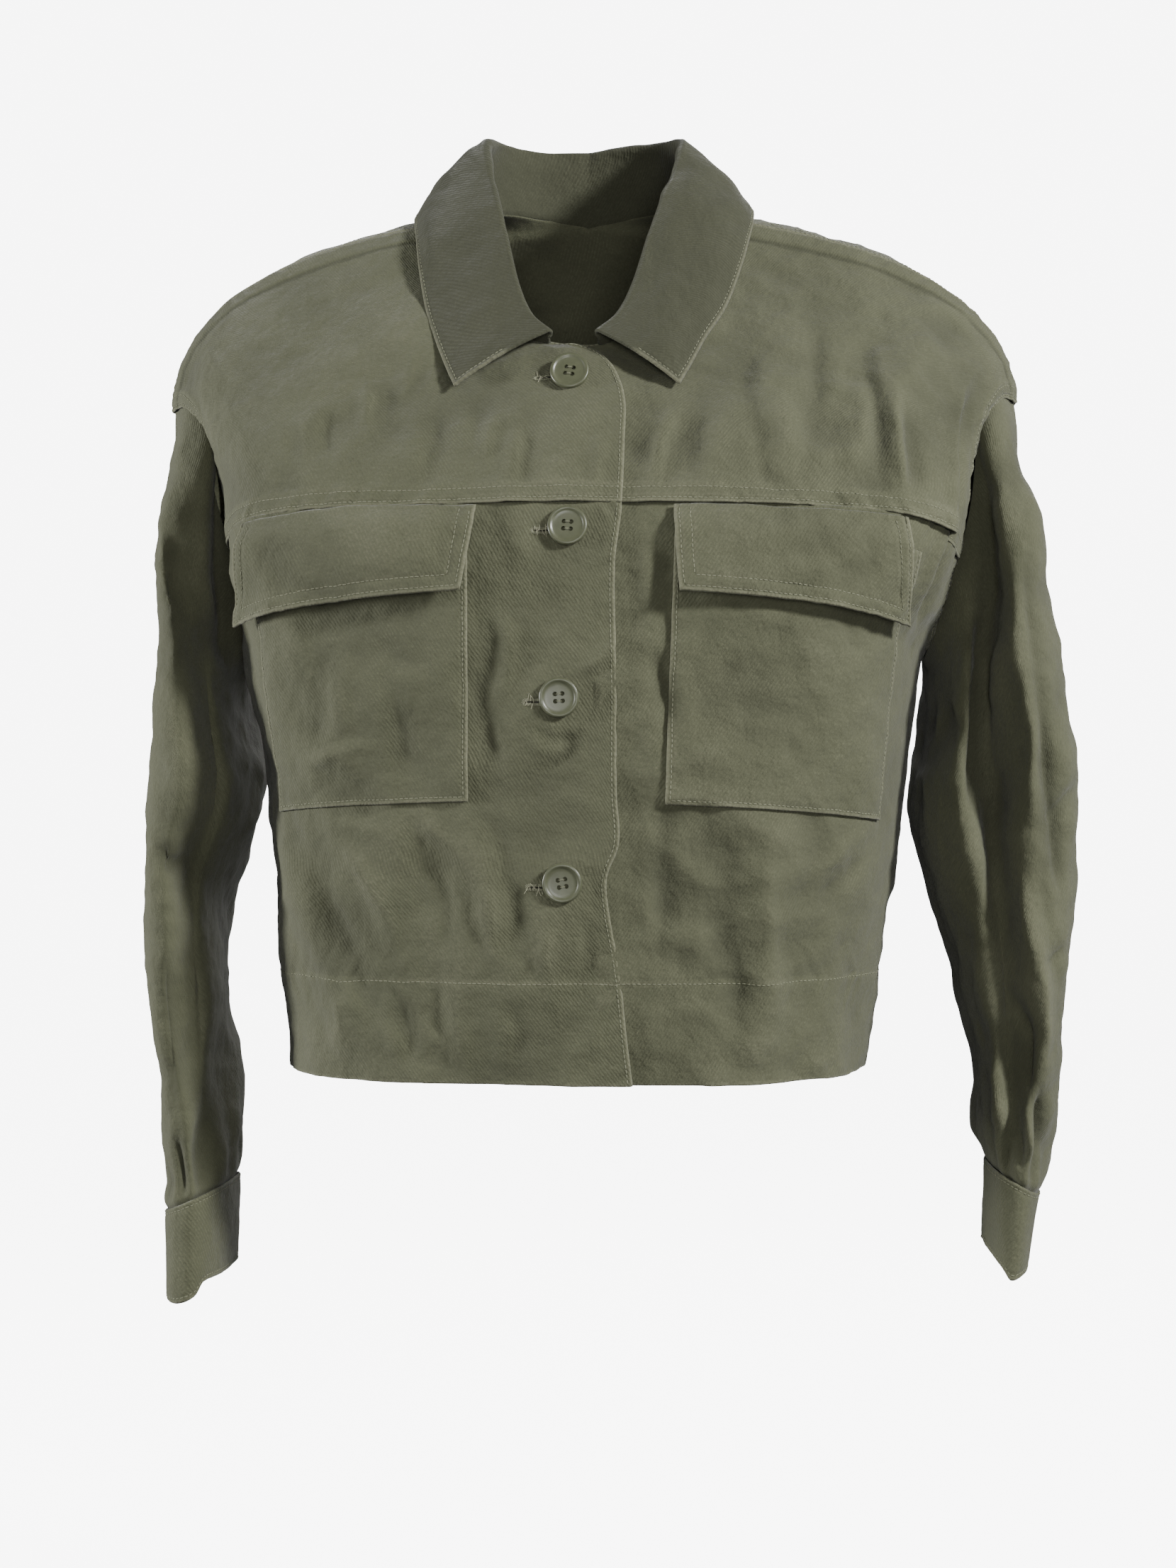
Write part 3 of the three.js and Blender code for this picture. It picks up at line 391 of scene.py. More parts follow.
# The hidden side has creases of the same kind
for side in ("right", "left"):
    lean = 6 if side == "right" else -4
    CREASES[side] += [
        ("back", 9, -2.4, 0.2, [(150 + lean, -150), (128, -235), (118, -330)]),
        ("back", 8, 1.8, 0.1, [(172, -190), (150 + lean, -280), (141, -380)]),
        ("back", 8, -1.6, 0, [(86 + lean, -120), (78, -190), (84, -260)]),
        ("back", 9, 1.6, 0, [(52, -230 + lean), (44, -330), (49, -440)]),
        ("back", 6, -1.6, 0.4, [(30, -402 + lean), (66, -418), (96, -406)]),
        ("back", 8, 1.5, 0.1, [(112, -400), (108 + lean, -455), (114, -510)]),
        ("back", 8, -1.5, 0, [(70, -452), (72 + lean, -512)]),
        ("back", 8, 1.4, 0.1, [(18, -60), (26 + lean, -130), (22, -196)]),
        ("sleeve back", 6, 2.0, 0.4, [(246, -200), (258 + lean, -290), (262, -372)]),
        ("sleeve back", 7, -2.0, 0.2, [(228, -300), (236 + lean, -368), (238, -440)]),
        ("sleeve back", 5, -2.0, 0.4, [(272, -352 + lean), (258, -366), (240, -362)]),
        ("sleeve back", 5, 1.6, 0.3, [(268, -398), (254, -412 + lean), (238, -404)]),
        ("sleeve back", 6, 1.8, 0.3, [(246, -470), (248, -520), (244 + lean, -570)]),
        ("sleeve back", 5, -1.6, 0.3, [(258, -520), (260, -572)]),
    ]
print("creases laid by hand:", sum(len(rows) for rows in CREASES.values()))


# %% Heights of creases, puckers and slack
CREASE_STRENGTH = 2.5  # millimetres for each unit of height in the crease tables


def crease_height(side, piece, place):
    """Height of a piece's creases, seen from the front or back: each has a counter-fold beside it."""
    seen = place[..., [0, 2]]
    height = np.zeros(seen.shape[:-1])
    for at_piece, width, rise, crisp, line in CREASES[side]:
        if at_piece != piece:
            continue
        line = np.array(line, float)
        lengths = np.linalg.norm(np.diff(line, axis=0), axis=1)
        starts = np.concatenate([[0], np.cumsum(lengths)])
        nearest = np.full(height.shape, 1e9)
        along, beside = np.zeros(height.shape), np.zeros(height.shape)
        for i, length in enumerate(lengths):
            heading = (line[i + 1] - line[i]) / length
            t = np.clip(np.sum((seen - line[i]) * heading, axis=-1), 0, length)
            offset = seen - line[i] - t[..., None] * heading
            away = np.linalg.norm(offset, axis=-1)
            closer = away < nearest
            beside = np.where(closer, offset[..., 0], beside)
            nearest = np.where(closer, away, nearest)
            along = np.where(closer, (starts[i] + t) / starts[-1], along)
        soft = np.exp(-((nearest / width) ** 2) * 1.5)
        sharp = np.exp(-nearest / width * 1.8)
        lee = np.exp(-(((beside - 1.7 * width) / width) ** 2)) * np.exp(-((nearest / width / 3) ** 2))
        ends = 0.1 + 0.9 * smooth(along, 0, 0.35) * (1 - smooth(along, 0.65, 1))
        height += rise * ends * (mix(soft, sharp, 0.3 + 0.7 * crisp) - 0.5 * lee)
    return CREASE_STRENGTH * height


def waves(place, seed, count, shortest, longest):
    """Soft unevenness: waves in seeded directions, from -1 to 1 or so."""
    dice = np.random.default_rng(SEED + seed)
    total = np.zeros(place.shape[:-1])
    for _ in range(count):
        heading = unit(dice.normal(size=3))
        length = dice.uniform(shortest, longest)
        total += np.sin(place @ heading * 2 * np.pi / length + dice.uniform(0, 2 * np.pi))
    return total / math.sqrt(count / 2)


def pucker(along, away, seed, reach=8, slant=0.7):
    """Small gathers beside a seam, uneven in spacing, dying away from it."""
    dice = np.random.default_rng(SEED + seed)
    total = np.zeros(along.shape)
    for length in (8.5, 11.5, 16.0, 27.0):
        total += np.sin((along + slant * away) * 2 * np.pi / length + dice.uniform(0, 6.3))
    strength = 0.6 + 0.4 * np.sin(along / 41 + seed)
    return total / 2 * strength * np.exp(-((away / reach) ** 2))


# %% [markdown]
# ## From a grid of points to cloth
# A sheet of cloth is a grid of points with a wall behind it. Solidify can make the wall, but the
# cut edge would be square. Here the wall is made with a rounded edge, since a jacket's edges are
# folded, and the grid is finer beside its seams, where stitches pull it into small ridges. The UV
# map is the cloth itself, in metres along and across, so that the twill lies as it was woven.


# %% Grids that are finer at their edges
def graded(length, start=True, end=True, fine=1.0, zone=12.0, coarse=2.7):
    """Fractions along an edge, close together within a zone at the ends that are sewn."""
    near = np.arange(0, zone, fine) if start else np.array([0.0])
    far = length - np.arange(0, zone, fine)[::-1] if end else np.array([float(length)])
    low, high = near[-1], far[0]
    middle = np.linspace(low, high, max(2, int((high - low) / coarse) + 1))
    return np.concatenate([near[:-1], middle, far[1:]]) / length


def walked(grid, axis):
    """Length of cloth from the first row or column, at each point."""
    steps = np.linalg.norm(np.diff(grid, axis=axis), axis=-1)
    start = np.zeros_like(np.take(steps, [0], axis=axis))
    return np.concatenate([start, np.cumsum(steps, axis=axis)], axis=axis)


def edge_distances(grid):
    """Distance from each edge of a grid, along its rows or columns."""
    up, over = walked(grid, 0), walked(grid, 1)
    return {"bottom": up, "top": up[-1:] - up, "start": over, "end": over[:, -1:] - over}


def grid_normals(grid, closed=False):
    if closed:
        over = np.roll(grid, -1, axis=1) - np.roll(grid, 1, axis=1)
    else:
        over = np.gradient(grid, axis=1)
    return unit(np.cross(over, np.gradient(grid, axis=0)))


def relax(grid, weight, rounds):
    """Evens out the rows of a grid where weight is above 0."""
    grid = grid.copy()
    for _ in range(rounds):
        level = (grid[:-2] + grid[2:]) / 2
        grid[1:-1] += (level - grid[1:-1]) * weight[1:-1, :, None]
    return grid


def trimmed(grid, edges, amount=SEAM_GAP):
    """Moves the named edges of a grid a little way inwards."""
    grid = grid.copy()
    inward = {"bottom": (0, 1), "top": (-1, -2)}
    sideways = {"start": (0, 1), "end": (-1, -2)}
    for edge in edges:
        if edge in inward:
            a, b = inward[edge]
            grid[a] += unit(grid[b] - grid[a]) * amount
        else:
            a, b = sideways[edge]
            grid[:, a] += unit(grid[:, b] - grid[:, a]) * amount
    return grid


# %% Make a piece of cloth from a grid
pieces = {}
stitch_rows = []


def wall_faces(rows, columns, closed, split):
    """Faces of both skins and the rounded rim, with each corner's UV place, and the rim's edges.

    Split names the rows whose columns at the middle are one line, and the column before it."""
    turn = columns if closed else columns - 1
    i, j = np.meshgrid(np.arange(rows - 1), np.arange(turn), indexing="ij")
    i, j = i.ravel(), j.ravel()
    same = np.arange(rows * columns)
    if split:
        joined, middle = split
        i, j = i[j != middle], j[j != middle]
        line = np.arange(joined) * columns + middle
        same[line] = line + 1
    k, wide = (j + 1) % columns, columns + 1
    corners = [(i, j, j), (i, k, j + 1), (i + 1, k, j + 1), (i + 1, j, j)]
    outer = same[np.stack([r * columns + c for r, c, _ in corners], axis=1)]
    uv = np.stack([r * wide + c for r, _, c in corners], axis=1)
    ends = np.concatenate([outer[:, [n, (n + 1) % 4]] for n in range(4)])
    ends_uv = np.concatenate([uv[:, [n, (n + 1) % 4]] for n in range(4)])
    count = rows * columns
    free = ~np.isin(ends[:, 0] * count + ends[:, 1], ends[:, 1] * count + ends[:, 0])
    edges, (at, to) = ends[free], ends_uv[free].T
    rim, slots = np.unique(edges, return_inverse=True)
    mp, mq = slots.reshape(edges.shape).T + 2 * count
    p, q = edges.T
    faces = [outer, outer[:, ::-1] + count, np.stack([q, p, mp, mq], axis=1)]
    faces.append(np.stack([mq, mp, count + p, count + q], axis=1))
    rim_uv = np.stack([to, at, at, to], axis=1)
    return np.concatenate(faces), np.concatenate([uv, uv[:, ::-1], rim_uv, rim_uv]), rim, edges


def rim_points(outer, inner, normals, rim, edges):
    """The rim's middle points, pushed out so that the edge is round."""
    outer, inner, normals = (values.reshape(-1, 3) for values in (outer, inner, normals))
    push = np.zeros_like(outer)
    heading = unit(outer[edges[:, 1]] - outer[edges[:, 0]])
    for end in (0, 1):
        np.add.at(push, edges[:, end], np.cross(heading, normals[edges[:, end]]))
    wall = np.linalg.norm(outer[rim] - inner[rim], axis=-1, keepdims=True)
    return (outer[rim] + inner[rim]) / 2 + unit(push[rim]) * wall * 0.42


def cloth_piece(name, grid, wall, side, wear_and_shade, closed=False, outward=1, behind=0.0, split=None):
    """Makes the mesh of one piece. The wall goes inwards from the grid, less what is behind."""
    normals = grid_normals(grid, closed)
    outer = grid + normals * outward * behind
    inner = grid - normals * outward * (wall - behind)
    rows, columns = grid.shape[:2]
    faces, corners, rim, edges = wall_faces(rows, columns, closed, split)
    rims = rim_points(outer, inner, normals, rim, edges)
    place = np.concatenate([outer.reshape(-1, 3), inner.reshape(-1, 3), rims])
    # The attribute holds pale wear and painted shade; the inner skin gets a third of it.
    fade = np.concatenate([wear_and_shade.ravel(), wear_and_shade.ravel() * 0.3, wear_and_shade.ravel()[rim]])
    whole = np.concatenate([grid, grid[:, :1]], axis=1)
    flat = np.stack([walked(whole, 1), walked(whole, 0)], axis=-1).reshape(-1, 2) / 1000
    mirrored = side == "right"
    if mirrored:
        place = place * [-1, 1, 1]
    if mirrored != (outward < 0):
        faces, corners = faces[:, ::-1], corners[:, ::-1]
    used, slots = np.unique(faces, return_inverse=True)
    place, fade, faces = place[used], fade[used], slots.reshape(faces.shape)
    mesh = bpy.data.meshes.new(name)
    mesh.from_pydata((place / 1000).tolist(), [], faces.tolist())
    mesh.polygons.foreach_set("use_smooth", np.ones(len(mesh.polygons), bool))
    mesh.uv_layers.new(name="cloth").data.foreach_set("uv", flat[corners.ravel()].ravel())
    mesh.attributes.new("wear_and_shade", "FLOAT", "POINT").data.foreach_set("value", fade)
    mesh.update()
    obj = bpy.data.objects.new(name + "_cloth", mesh)
    bpy.context.scene.collection.objects.link(obj)
    signs = np.array([-1, 1, 1]) if mirrored else np.ones(3)
    pieces[name] = {"obj": obj, "grid": outer * signs, "normals": normals * outward * signs}
    return obj


def cut_of(grid, closed=False):
    """Width, length and area of a piece as it was cut flat, in metres."""
    whole = np.concatenate([grid, grid[:, :1]], axis=1) if closed else grid
    over = walked(whole, 1)[:, -1].max() / 1000
    up = walked(whole, 0)[-1].max() / 1000
    a = whole[1:, :-1] - whole[:-1, :-1]
    b = whole[:-1, 1:] - whole[:-1, :-1]
    area = np.linalg.norm(np.cross(a, b), axis=-1).sum() / 1e6
    return round(float(over), 3), round(float(up), 3), round(float(area), 4)


cuts = {}

# %% [markdown]
# ## Fronts and yokes
# Each front is two panels: the yoke's lower edge is folded under and sewn down over the lower
# panel with two rows of stitches, and the flaps are caught in that seam. So the yoke steps out
# over its edge, the stitches press two channels into it, and the cloth puckers beside them. The
# wearer's right front laps over the left one and ends in a folded, slightly wavy edge. At its
# top each yoke has the step of the shoulder seam.

# %% Stitched seams as relief
EDGE_ROW, SECOND_ROW = 2.2, 8.6  # distance of the stitch rows from a seam
SINGLE, DOUBLE = (EDGE_ROW,), (EDGE_ROW, SECOND_ROW)
SEAM_RISE = 0.9  # how far the cloth over a seam's turned edge stands out
CHANNEL = 0.42


def stitched_edge(away, along, seed, rows=DOUBLE, rise=SEAM_RISE, reach=11.5):
    """Relief of a turned and stitched edge: a step, a channel for each row, and puckers."""
    height = rise * (1 - smooth(away, reach - 1.5, reach + 2.5))
    for row in rows:
        height = height - CHANNEL * np.exp(-(((away - row) / 0.95) ** 2))
    return height + 0.55 * pucker(along, away, seed, reach=reach * 1.25)


def edge_fade(away, rows=DOUBLE):
    """Where the cloth is rubbed pale: at a folded edge and between the stitch rows."""
    fade = 0.8 * np.exp(-((away / 0.9) ** 2))
    for row in rows:
        fade = fade + 0.28 * np.exp(-(((away - row - 1.4) / 1.0) ** 2))
    return fade


def ridge_wear_valley_shade(height):
    """Ridges wear pale, and valleys are darkened with painted shade."""
    return 0.075 * np.clip(height, -5, 4)


def facing_seam(away, along, seed):
    """The cloth that passes under a seam: it sinks a little and puckers."""
    return -0.25 * np.exp(-((away / 5) ** 2)) + 0.4 * pucker(along, away, seed, reach=13)


def raised(grid, heights, closed=False, outward=1):
    return grid + grid_normals(grid, closed) * outward * heights[..., None]


def slack(grid, seed, amount=0.8):
    """Slow unevenness that all worn cloth has."""
    slow = 1.7 * waves(grid, seed, 18, 50, 140) + 0.36 * waves(grid, seed + 1, 16, 17, 38)
    lines = 0.7 - np.abs(waves(grid, seed + 3, 9, 26, 80))
    patches = smooth(waves(grid, seed + 4, 8, 110, 240), -0.6, 1)
    return amount * (slow + 1.4 * lines * patches + 0.16 * waves(grid, seed + 2, 16, 8, 16))


# %% Lower fronts and yokes
FRONT_WIDTH = 330
YOKE_HEIGHT = 190
HEM_HEIGHT = 58
FREE_EDGE = table(  # how far the free edge of the overlap lies from its straight line
    "z aside",
    (-520, -6.8), (-490, -3.2), (-452, 0.8), (-417, 6.8), (-399, 7.6), (-380, 0.8),
    (-352, 2), (-288, 2), (-224, 2.8), (-190, -0.8), (-133, -2),
)
UNDER_SINK = 6  # the under front gives way below the creases of the upper one
SHOULDER_LINE = 11  # the shoulder seam's edge shows this far down the front
SEWN_ABOVE = ARMHOLE["leftZ"].min() + 6  # the armhole's stitches end at this height
HEM_TO_UNDERARM, UNDERARM_TO_YOKE, UNDERARM_TO_NECK = 245, 105, 255  # lengths of cloth


def hem_relief(up):
    """The turned-up hem is double, and its row of stitches presses a channel into it."""
    double = 0.55 * (1 - smooth(up, HEM_HEIGHT - 1, HEM_HEIGHT + 2.5))
    return double - 0.3 * np.exp(-(((up - HEM_HEIGHT) / 1.2) ** 2))


def extension_at(level):
    """How far a front reaches past the centre front, with a rounded neck corner."""
    below = (FRONT_LINE["z"][-1] - column(FRONT_LINE, "level", "z", level)) / EXTENSION_CORNER
    reach = EXTENSION * np.sqrt(np.clip(1 - (1 - np.clip(below, 0, 1)) ** 2, 0, 1))
    return np.where(level >= NECK_LEVEL, 0, reach)


def front_grid(side, levels):
    """Rows of a front from its free edge to its outer seam."""
    starts = -across_at(side, levels, extension_at(levels))
    t = graded(FRONT_WIDTH)
    across = starts[:, None] + (1 - starts[:, None]) * t[None, :]
    return body_point(side, 1, across, np.repeat(levels[:, None], len(t), axis=1))


def place_front(side, part, levels, seed):
    lower = part == "front"
    grid = front_grid(side, levels)
    if not lower:
        near_neck = np.exp(-(((levels - NECK_LEVEL) / 0.055) ** 2))[:, None]
        inland = smooth(np.linspace(0, 1, grid.shape[1]), 0.08, 0.3)[None, :]
        grid = relax(grid, near_neck * inland, 140)
    grid = trimmed(grid, ("top", "end") if lower else ("bottom", "top", "end"))
    cuts[part if lower else "front yoke"] = cut_of(grid)
    away = edge_distances(grid)
    up, over = away["bottom"], away["start"]
    to_edge = np.minimum(away["end"], away["top"])
    calm = smooth(over, 2, 40) * smooth(to_edge, 2, 22)
    height = slack(grid, seed) * calm
    creases = crease_height(side, part if lower else "yoke", grid)
    height += np.where(creases < 0, creases * smooth(over, 6, 34), creases)
    at_side = np.where(grid[..., 2] > SEWN_ABOVE, 1.0, 0.0)
    height += at_side * stitched_edge(away["end"], up, seed + 2)
    wear_and_shade = at_side * edge_fade(away["end"]) + 0.9 * np.exp(-((over / 0.9) ** 2))
    if lower:
        height += facing_seam(away["top"], over, seed + 3)
        height += hem_relief(up)
        height += 0.5 * pucker(over, np.abs(up - HEM_HEIGHT), seed + 4, reach=16)
        wear_and_shade += 0.8 * np.exp(-((up / 0.9) ** 2)) + 0.3 * np.exp(-(((up - HEM_HEIGHT) / 1.5) ** 2))
    else:
        height += stitched_edge(up, over, seed + 5) + facing_seam(away["top"], over, seed + 6)
        height += 1.1 * (1 - smooth(away["top"], SHOULDER_LINE - 1, SHOULDER_LINE + 0.6))
        # Under the raised edge of the shoulder seam the colour gets a dark line of painted shadow.
        below = away["top"] - SHOULDER_LINE - 1
        wear_and_shade += edge_fade(up) - 0.5 * np.exp(-((below / 1.3) ** 2))
    free = np.exp(-((over / 14) ** 2))
    height += 0.5 * pucker(up, over, seed + 7, reach=9, slant=0.4) * (side == "right")
    if side == "left":
        height -= UNDER_SINK * (1 - smooth(over, 28, 48)) * smooth(-grid[..., 2], 100, 150)
    # Valleys of the relief get painted shade in the colour, and ridges are worn pale.
    wear_and_shade += ridge_wear_valley_shade(height)
    grid = raised(grid, height)
    if side == "right":
        grid[..., 0] += free * column(FREE_EDGE, "z", "aside", grid[..., 2])
    name = f"{part}_{side}" if lower else f"front_yoke_{side}"
    cloth_piece(name, grid, CLOTH, side, wear_and_shade)
    return name


lower_levels = np.concatenate(
    [
        graded(HEM_TO_UNDERARM, end=False) * UNDERARM_LEVEL,
        UNDERARM_LEVEL + graded(UNDERARM_TO_YOKE, start=False)[1:] * (YOKE_LEVEL - UNDERARM_LEVEL),
    ]
)
yoke_levels = YOKE_LEVEL + graded(YOKE_HEIGHT) * (1 - YOKE_LEVEL)
for side, seed in (("right", 100), ("left", 200)):
    place_front(side, "front", lower_levels, seed)
    place_front(side, "yoke", yoke_levels, seed + 50)
print("fronts:", {name: len(pieces[name]["obj"].data.polygons) for name in pieces})

# %% [markdown]
# ## The back
# The back is one panel from armhole to armhole, with the same deep hem as the fronts. Its two
# halves are worked out apart, because the shoulders differ a little, and then lie in one grid.

# %% Back
BACK_WIDTH = 300


def back_half(side, levels):
    t = graded(BACK_WIDTH, start=False, coarse=3.6)
    return body_point(side, -1, t[None, :], levels[:, None])


upper = graded(UNDERARM_TO_NECK, start=False, coarse=3.4)[1:]
back_levels = np.concatenate(
    [
        graded(HEM_TO_UNDERARM, end=False, coarse=3.8) * UNDERARM_LEVEL,
        UNDERARM_LEVEL + upper * (BACK_NECK_LEVEL - UNDERARM_LEVEL),
        BACK_NECK_LEVEL + np.linspace(0, 1, 22)[1:] * (1 - BACK_NECK_LEVEL),
    ]
)
halves = {}
for side, seed in (("right", 300), ("left", 320)):
    half = trimmed(back_half(side, back_levels), ("top", "end"))
    near_neck = np.exp(-(((back_levels - BACK_NECK_LEVEL) / 0.03) ** 2))[:, None]
    inland = smooth(np.linspace(0, 1, half.shape[1]), 0.3, 0.5)[None, :]
    half = relax(half, near_neck * inland, 60)
    away = edge_distances(half)
    up = away["bottom"]
    height = crease_height(side, "back", half) + slack(half, seed) * smooth(half[..., 0], 0, 40)
    height = height * smooth(np.minimum(away["end"], away["top"]), 2, 20)
    seam = np.where(half[..., 2] > SEWN_ABOVE, 1.0, 0.0)
    height += seam * stitched_edge(away["end"], up, seed + 2)
    height += stitched_edge(away["top"], away["start"], seed + 3)
    height += hem_relief(up)
    sideways = away["start"] * (1 if side == "left" else -1)
    height += 0.5 * pucker(sideways, np.abs(up - HEM_HEIGHT), 330, reach=16)
    fade = seam * edge_fade(away["end"]) + edge_fade(away["top"]) + 0.8 * np.exp(-((up / 0.9) ** 2))
    # Valleys of the relief get painted shade in the colour, and ridges are worn pale.
    fade += ridge_wear_valley_shade(height)
    halves[side] = (half, height, fade)
grids = [halves["right"][0][:, ::-1] * [-1, 1, 1], halves["left"][0]]
back_grid = np.concatenate(grids, axis=1)
back_height = np.concatenate([halves["right"][1][:, ::-1], halves["left"][1]], axis=1)
back_wear_and_shade = np.concatenate([halves["right"][2][:, ::-1], halves["left"][2]], axis=1)
joined_rows = int(np.sum(back_levels <= BACK_NECK_LEVEL + 1e-6))
back_middle = halves["right"][0].shape[1] - 1
(width, length, area), (other_width, _, other_area) = (cut_of(grid) for grid in grids)
cuts["back"] = (width + other_width, length, area + other_area)
back_grid = raised(back_grid, back_height, outward=-1)
split = (joined_rows, back_middle)
cloth_piece("back", back_grid, CLOTH, "left", back_wear_and_shade, outward=-1, split=split)
print("back:", cuts["back"])

# %% [markdown]
# ## Sleeves and cuffs
# A sleeve is one tube whose oval section turns and narrows towards the wrist. Its first rows take
# the armhole's own shape, so the seam meets the body all round. The cuff is a short band that
# laps over itself and closes with a small button. Its lower edge rises and dips as it hangs.

# %% Sleeve and cuff sections
NAMES = "at outer inner outerZ innerZ front back skew groove"
SLEEVE = {
    "left": table(
        NAMES,
        (0, 261, 205, -116, -272, -28, 58, 0, 0),
        (0.05, 263, 209, -137, -279, -44, 70, 7, 5),
        (0.15, 269, 209, -180, -293, -64, 80, 12, 15),
        (0.3, 277, 206, -245, -322, -67, 84, 14, 20),
        (0.46, 290, 201, -322, -362, -66, 80, 13, 16),
        (0.6, 292, 212, -395, -408, -63, 72, 10, 12),
        (0.75, 289, 223, -468, -462, -60, 64, 6, 9),
        (0.9, 283, 237, -542, -528, -54, 58, 2, 5),
        (1, 274, 243, -590, -573, -49, 54, 0, 2),
    ),
    "right": table(
        NAMES,
        (0, 253, 205, -117, -272, -28, 58, 0, 0),
        (0.05, 252, 209, -138, -279, -43, 70, 4, 2),
        (0.15, 251, 210, -183, -293, -66, 82, 6, 4),
        (0.3, 252, 207, -250, -322, -70, 88, 7, 5),
        (0.46, 256, 203, -328, -364, -70, 86, 6, 5),
        (0.6, 260, 220, -398, -412, -67, 78, 3, 4),
        (0.75, 259, 222, -472, -470, -62, 68, 2, 3),
        (0.9, 253, 217, -550, -540, -56, 60, 1, 2),
        (1, 252, 214, -604, -588, -52, 56, 0, 1),
    ),
}
CUFF = {
    "left": table(
        NAMES, (0, 274, 243, -590, -573, -49, 54, 0, 2), (1, 266, 242, -641, -622, -52, 55, 0, 0)
    ),
    "right": table(
        NAMES, (0, 252, 214, -604, -588, -52, 56, 0, 1), (1, 251, 215, -654, -634, -54, 56, 0, 0)
    ),
}
SLEEVE_BOX = 0.02
GROOVE_ANGLE = {"left": 107, "right": 122}
GROOVE_WIDTH = 15
GROOVE_DEEPER = {"left": 1.5, "right": 3.4}  # the cloth sinks further than its solid
HEAD_BLEND = 0.14
SLEEVE_LENGTH = 480
CUFF_VENT, CUFF_LAP, CUFF_RAMP, CUFF_LIFT = -30, 26, 40, 2.7
CUFF_HEIGHT, CUFF_ROUND = 50, 255


def section_point(rows, at, angle, groove_angle):
    value = lambda name: column(rows, "at", name, at)
    a = np.radians(angle)
    out = (np.cos(a) - SLEEVE_BOX * np.cos(3 * a)) / (1 - SLEEVE_BOX)
    forward = (np.sin(a) + SLEEVE_BOX * np.sin(3 * a)) / (1 - SLEEVE_BOX)
    middle = (value("front") + value("back")) / 2
    away = (np.mod(angle, 360) - groove_angle) / GROOVE_WIDTH
    groove = value("groove") * np.exp(-(away**2))
    reach = np.where(forward > 0, value("front"), value("back"))
    return points(
        mix(value("inner"), value("outer"), (1 + out) / 2) + value("skew") * forward,
        mix(middle, reach, np.abs(forward)) + groove,
        mix(value("innerZ"), value("outerZ"), (1 + out) / 2),
    )


def sleeve_point(side, at, angle):
    rows, groove = dict(SLEEVE[side]), GROOVE_ANGLE[side]
    rows["groove"] = rows["groove"] * GROOVE_DEEPER[side]
    at, angle = np.broadcast_arrays(at, angle)
    head = armhole_point(side, angle) - section_point(rows, np.zeros_like(at), angle, groove)
    return section_point(rows, at, angle, groove) + head * (1 - smooth(at, 0, HEAD_BLEND))[..., None]


# %% Sleeves
SLEEVE_COLUMNS = 160
sleeve_ats = graded(SLEEVE_LENGTH, coarse=2.7)
round_angles = np.arange(SLEEVE_COLUMNS) * 360 / SLEEVE_COLUMNS
for side, seed in (("right", 400), ("left", 440)):
    grid = sleeve_point(side, sleeve_ats[:, None], round_angles[None, :])
    grid = trimmed(grid, ("bottom", "top"), SEAM_GAP * 1.5)
    cuts["sleeve"] = cut_of(grid, closed=True)
    down = walked(grid, 0)
    to_cuff = down[-1:] - down
    in_front = smooth(np.sin(np.radians(round_angles)), -0.25, 0.15)[None, :]
    height = crease_height(side, "sleeve", grid) * in_front
    height += crease_height(side, "sleeve back", grid) * (1 - in_front)
    height += slack(grid, seed, 1.0) * smooth(down, 5, 30) * smooth(to_cuff, 2, 20)
    turn = np.radians(round_angles)[None, :]
    gathers = np.sin(turn * 9 + seed) + 0.7 * np.sin(turn * 14 + 2) + 0.6 * np.sin(turn * 5)
    height += 1.3 * gathers * np.exp(-((to_cuff / 42) ** 2)) * smooth(to_cuff, -6, 14)
    height -= 0.5 * np.exp(-((down / 5) ** 2)) + 1.3 * np.exp(-((to_cuff / 2.5) ** 2))
    # Painted shade: the sleeve's end, where it goes under the cuff, is darkened in the colour.
    wear_and_shade = ridge_wear_valley_shade(height) - 0.5 * np.exp(-((to_cuff / 1.6) ** 2))
    grid = raised(grid, height, closed=True)
    cloth_piece(f"sleeve_{side}", grid, CLOTH, side, wear_and_shade + 0 * down, closed=True)
print("sleeve:", cuts["sleeve"])

# %% Cuffs
cuff_turn = 360 + CUFF_LAP
CUFF_HEM = table(  # how much lower the edge hangs, from the outer side to the inner one
    "inwards right left",
    (0, -5, -22), (0.1, 0, -17), (0.35, 7, -6), (0.65, 9, 4), (0.78, 4, 3), (1, 8, 0),
)


def cuff_grid(side, t):
    """The band, whose last part rises over its start."""
    angles = CUFF_VENT - CUFF_LAP + cuff_turn * t
    ats = graded(CUFF_HEIGHT, coarse=2.0)
    grid = section_point(CUFF[side], ats[:, None], angles[None, :], GROOVE_ANGLE[side])
    over = np.gradient(grid, axis=1)
    lift = CUFF_LIFT * smooth(cuff_turn * t, cuff_turn - CUFF_LAP - CUFF_RAMP, cuff_turn - CUFF_LAP)
    outwards = unit(np.cross([0.0, 0.0, 1.0], over))
    grid = grid + outwards * lift[None, :, None]
    inwards = (grid[..., 0].max() - grid[..., 0]) / np.ptp(grid[..., 0])
    grid[..., 2] -= column(CUFF_HEM, "inwards", side, inwards) * ats[:, None]
    return grid


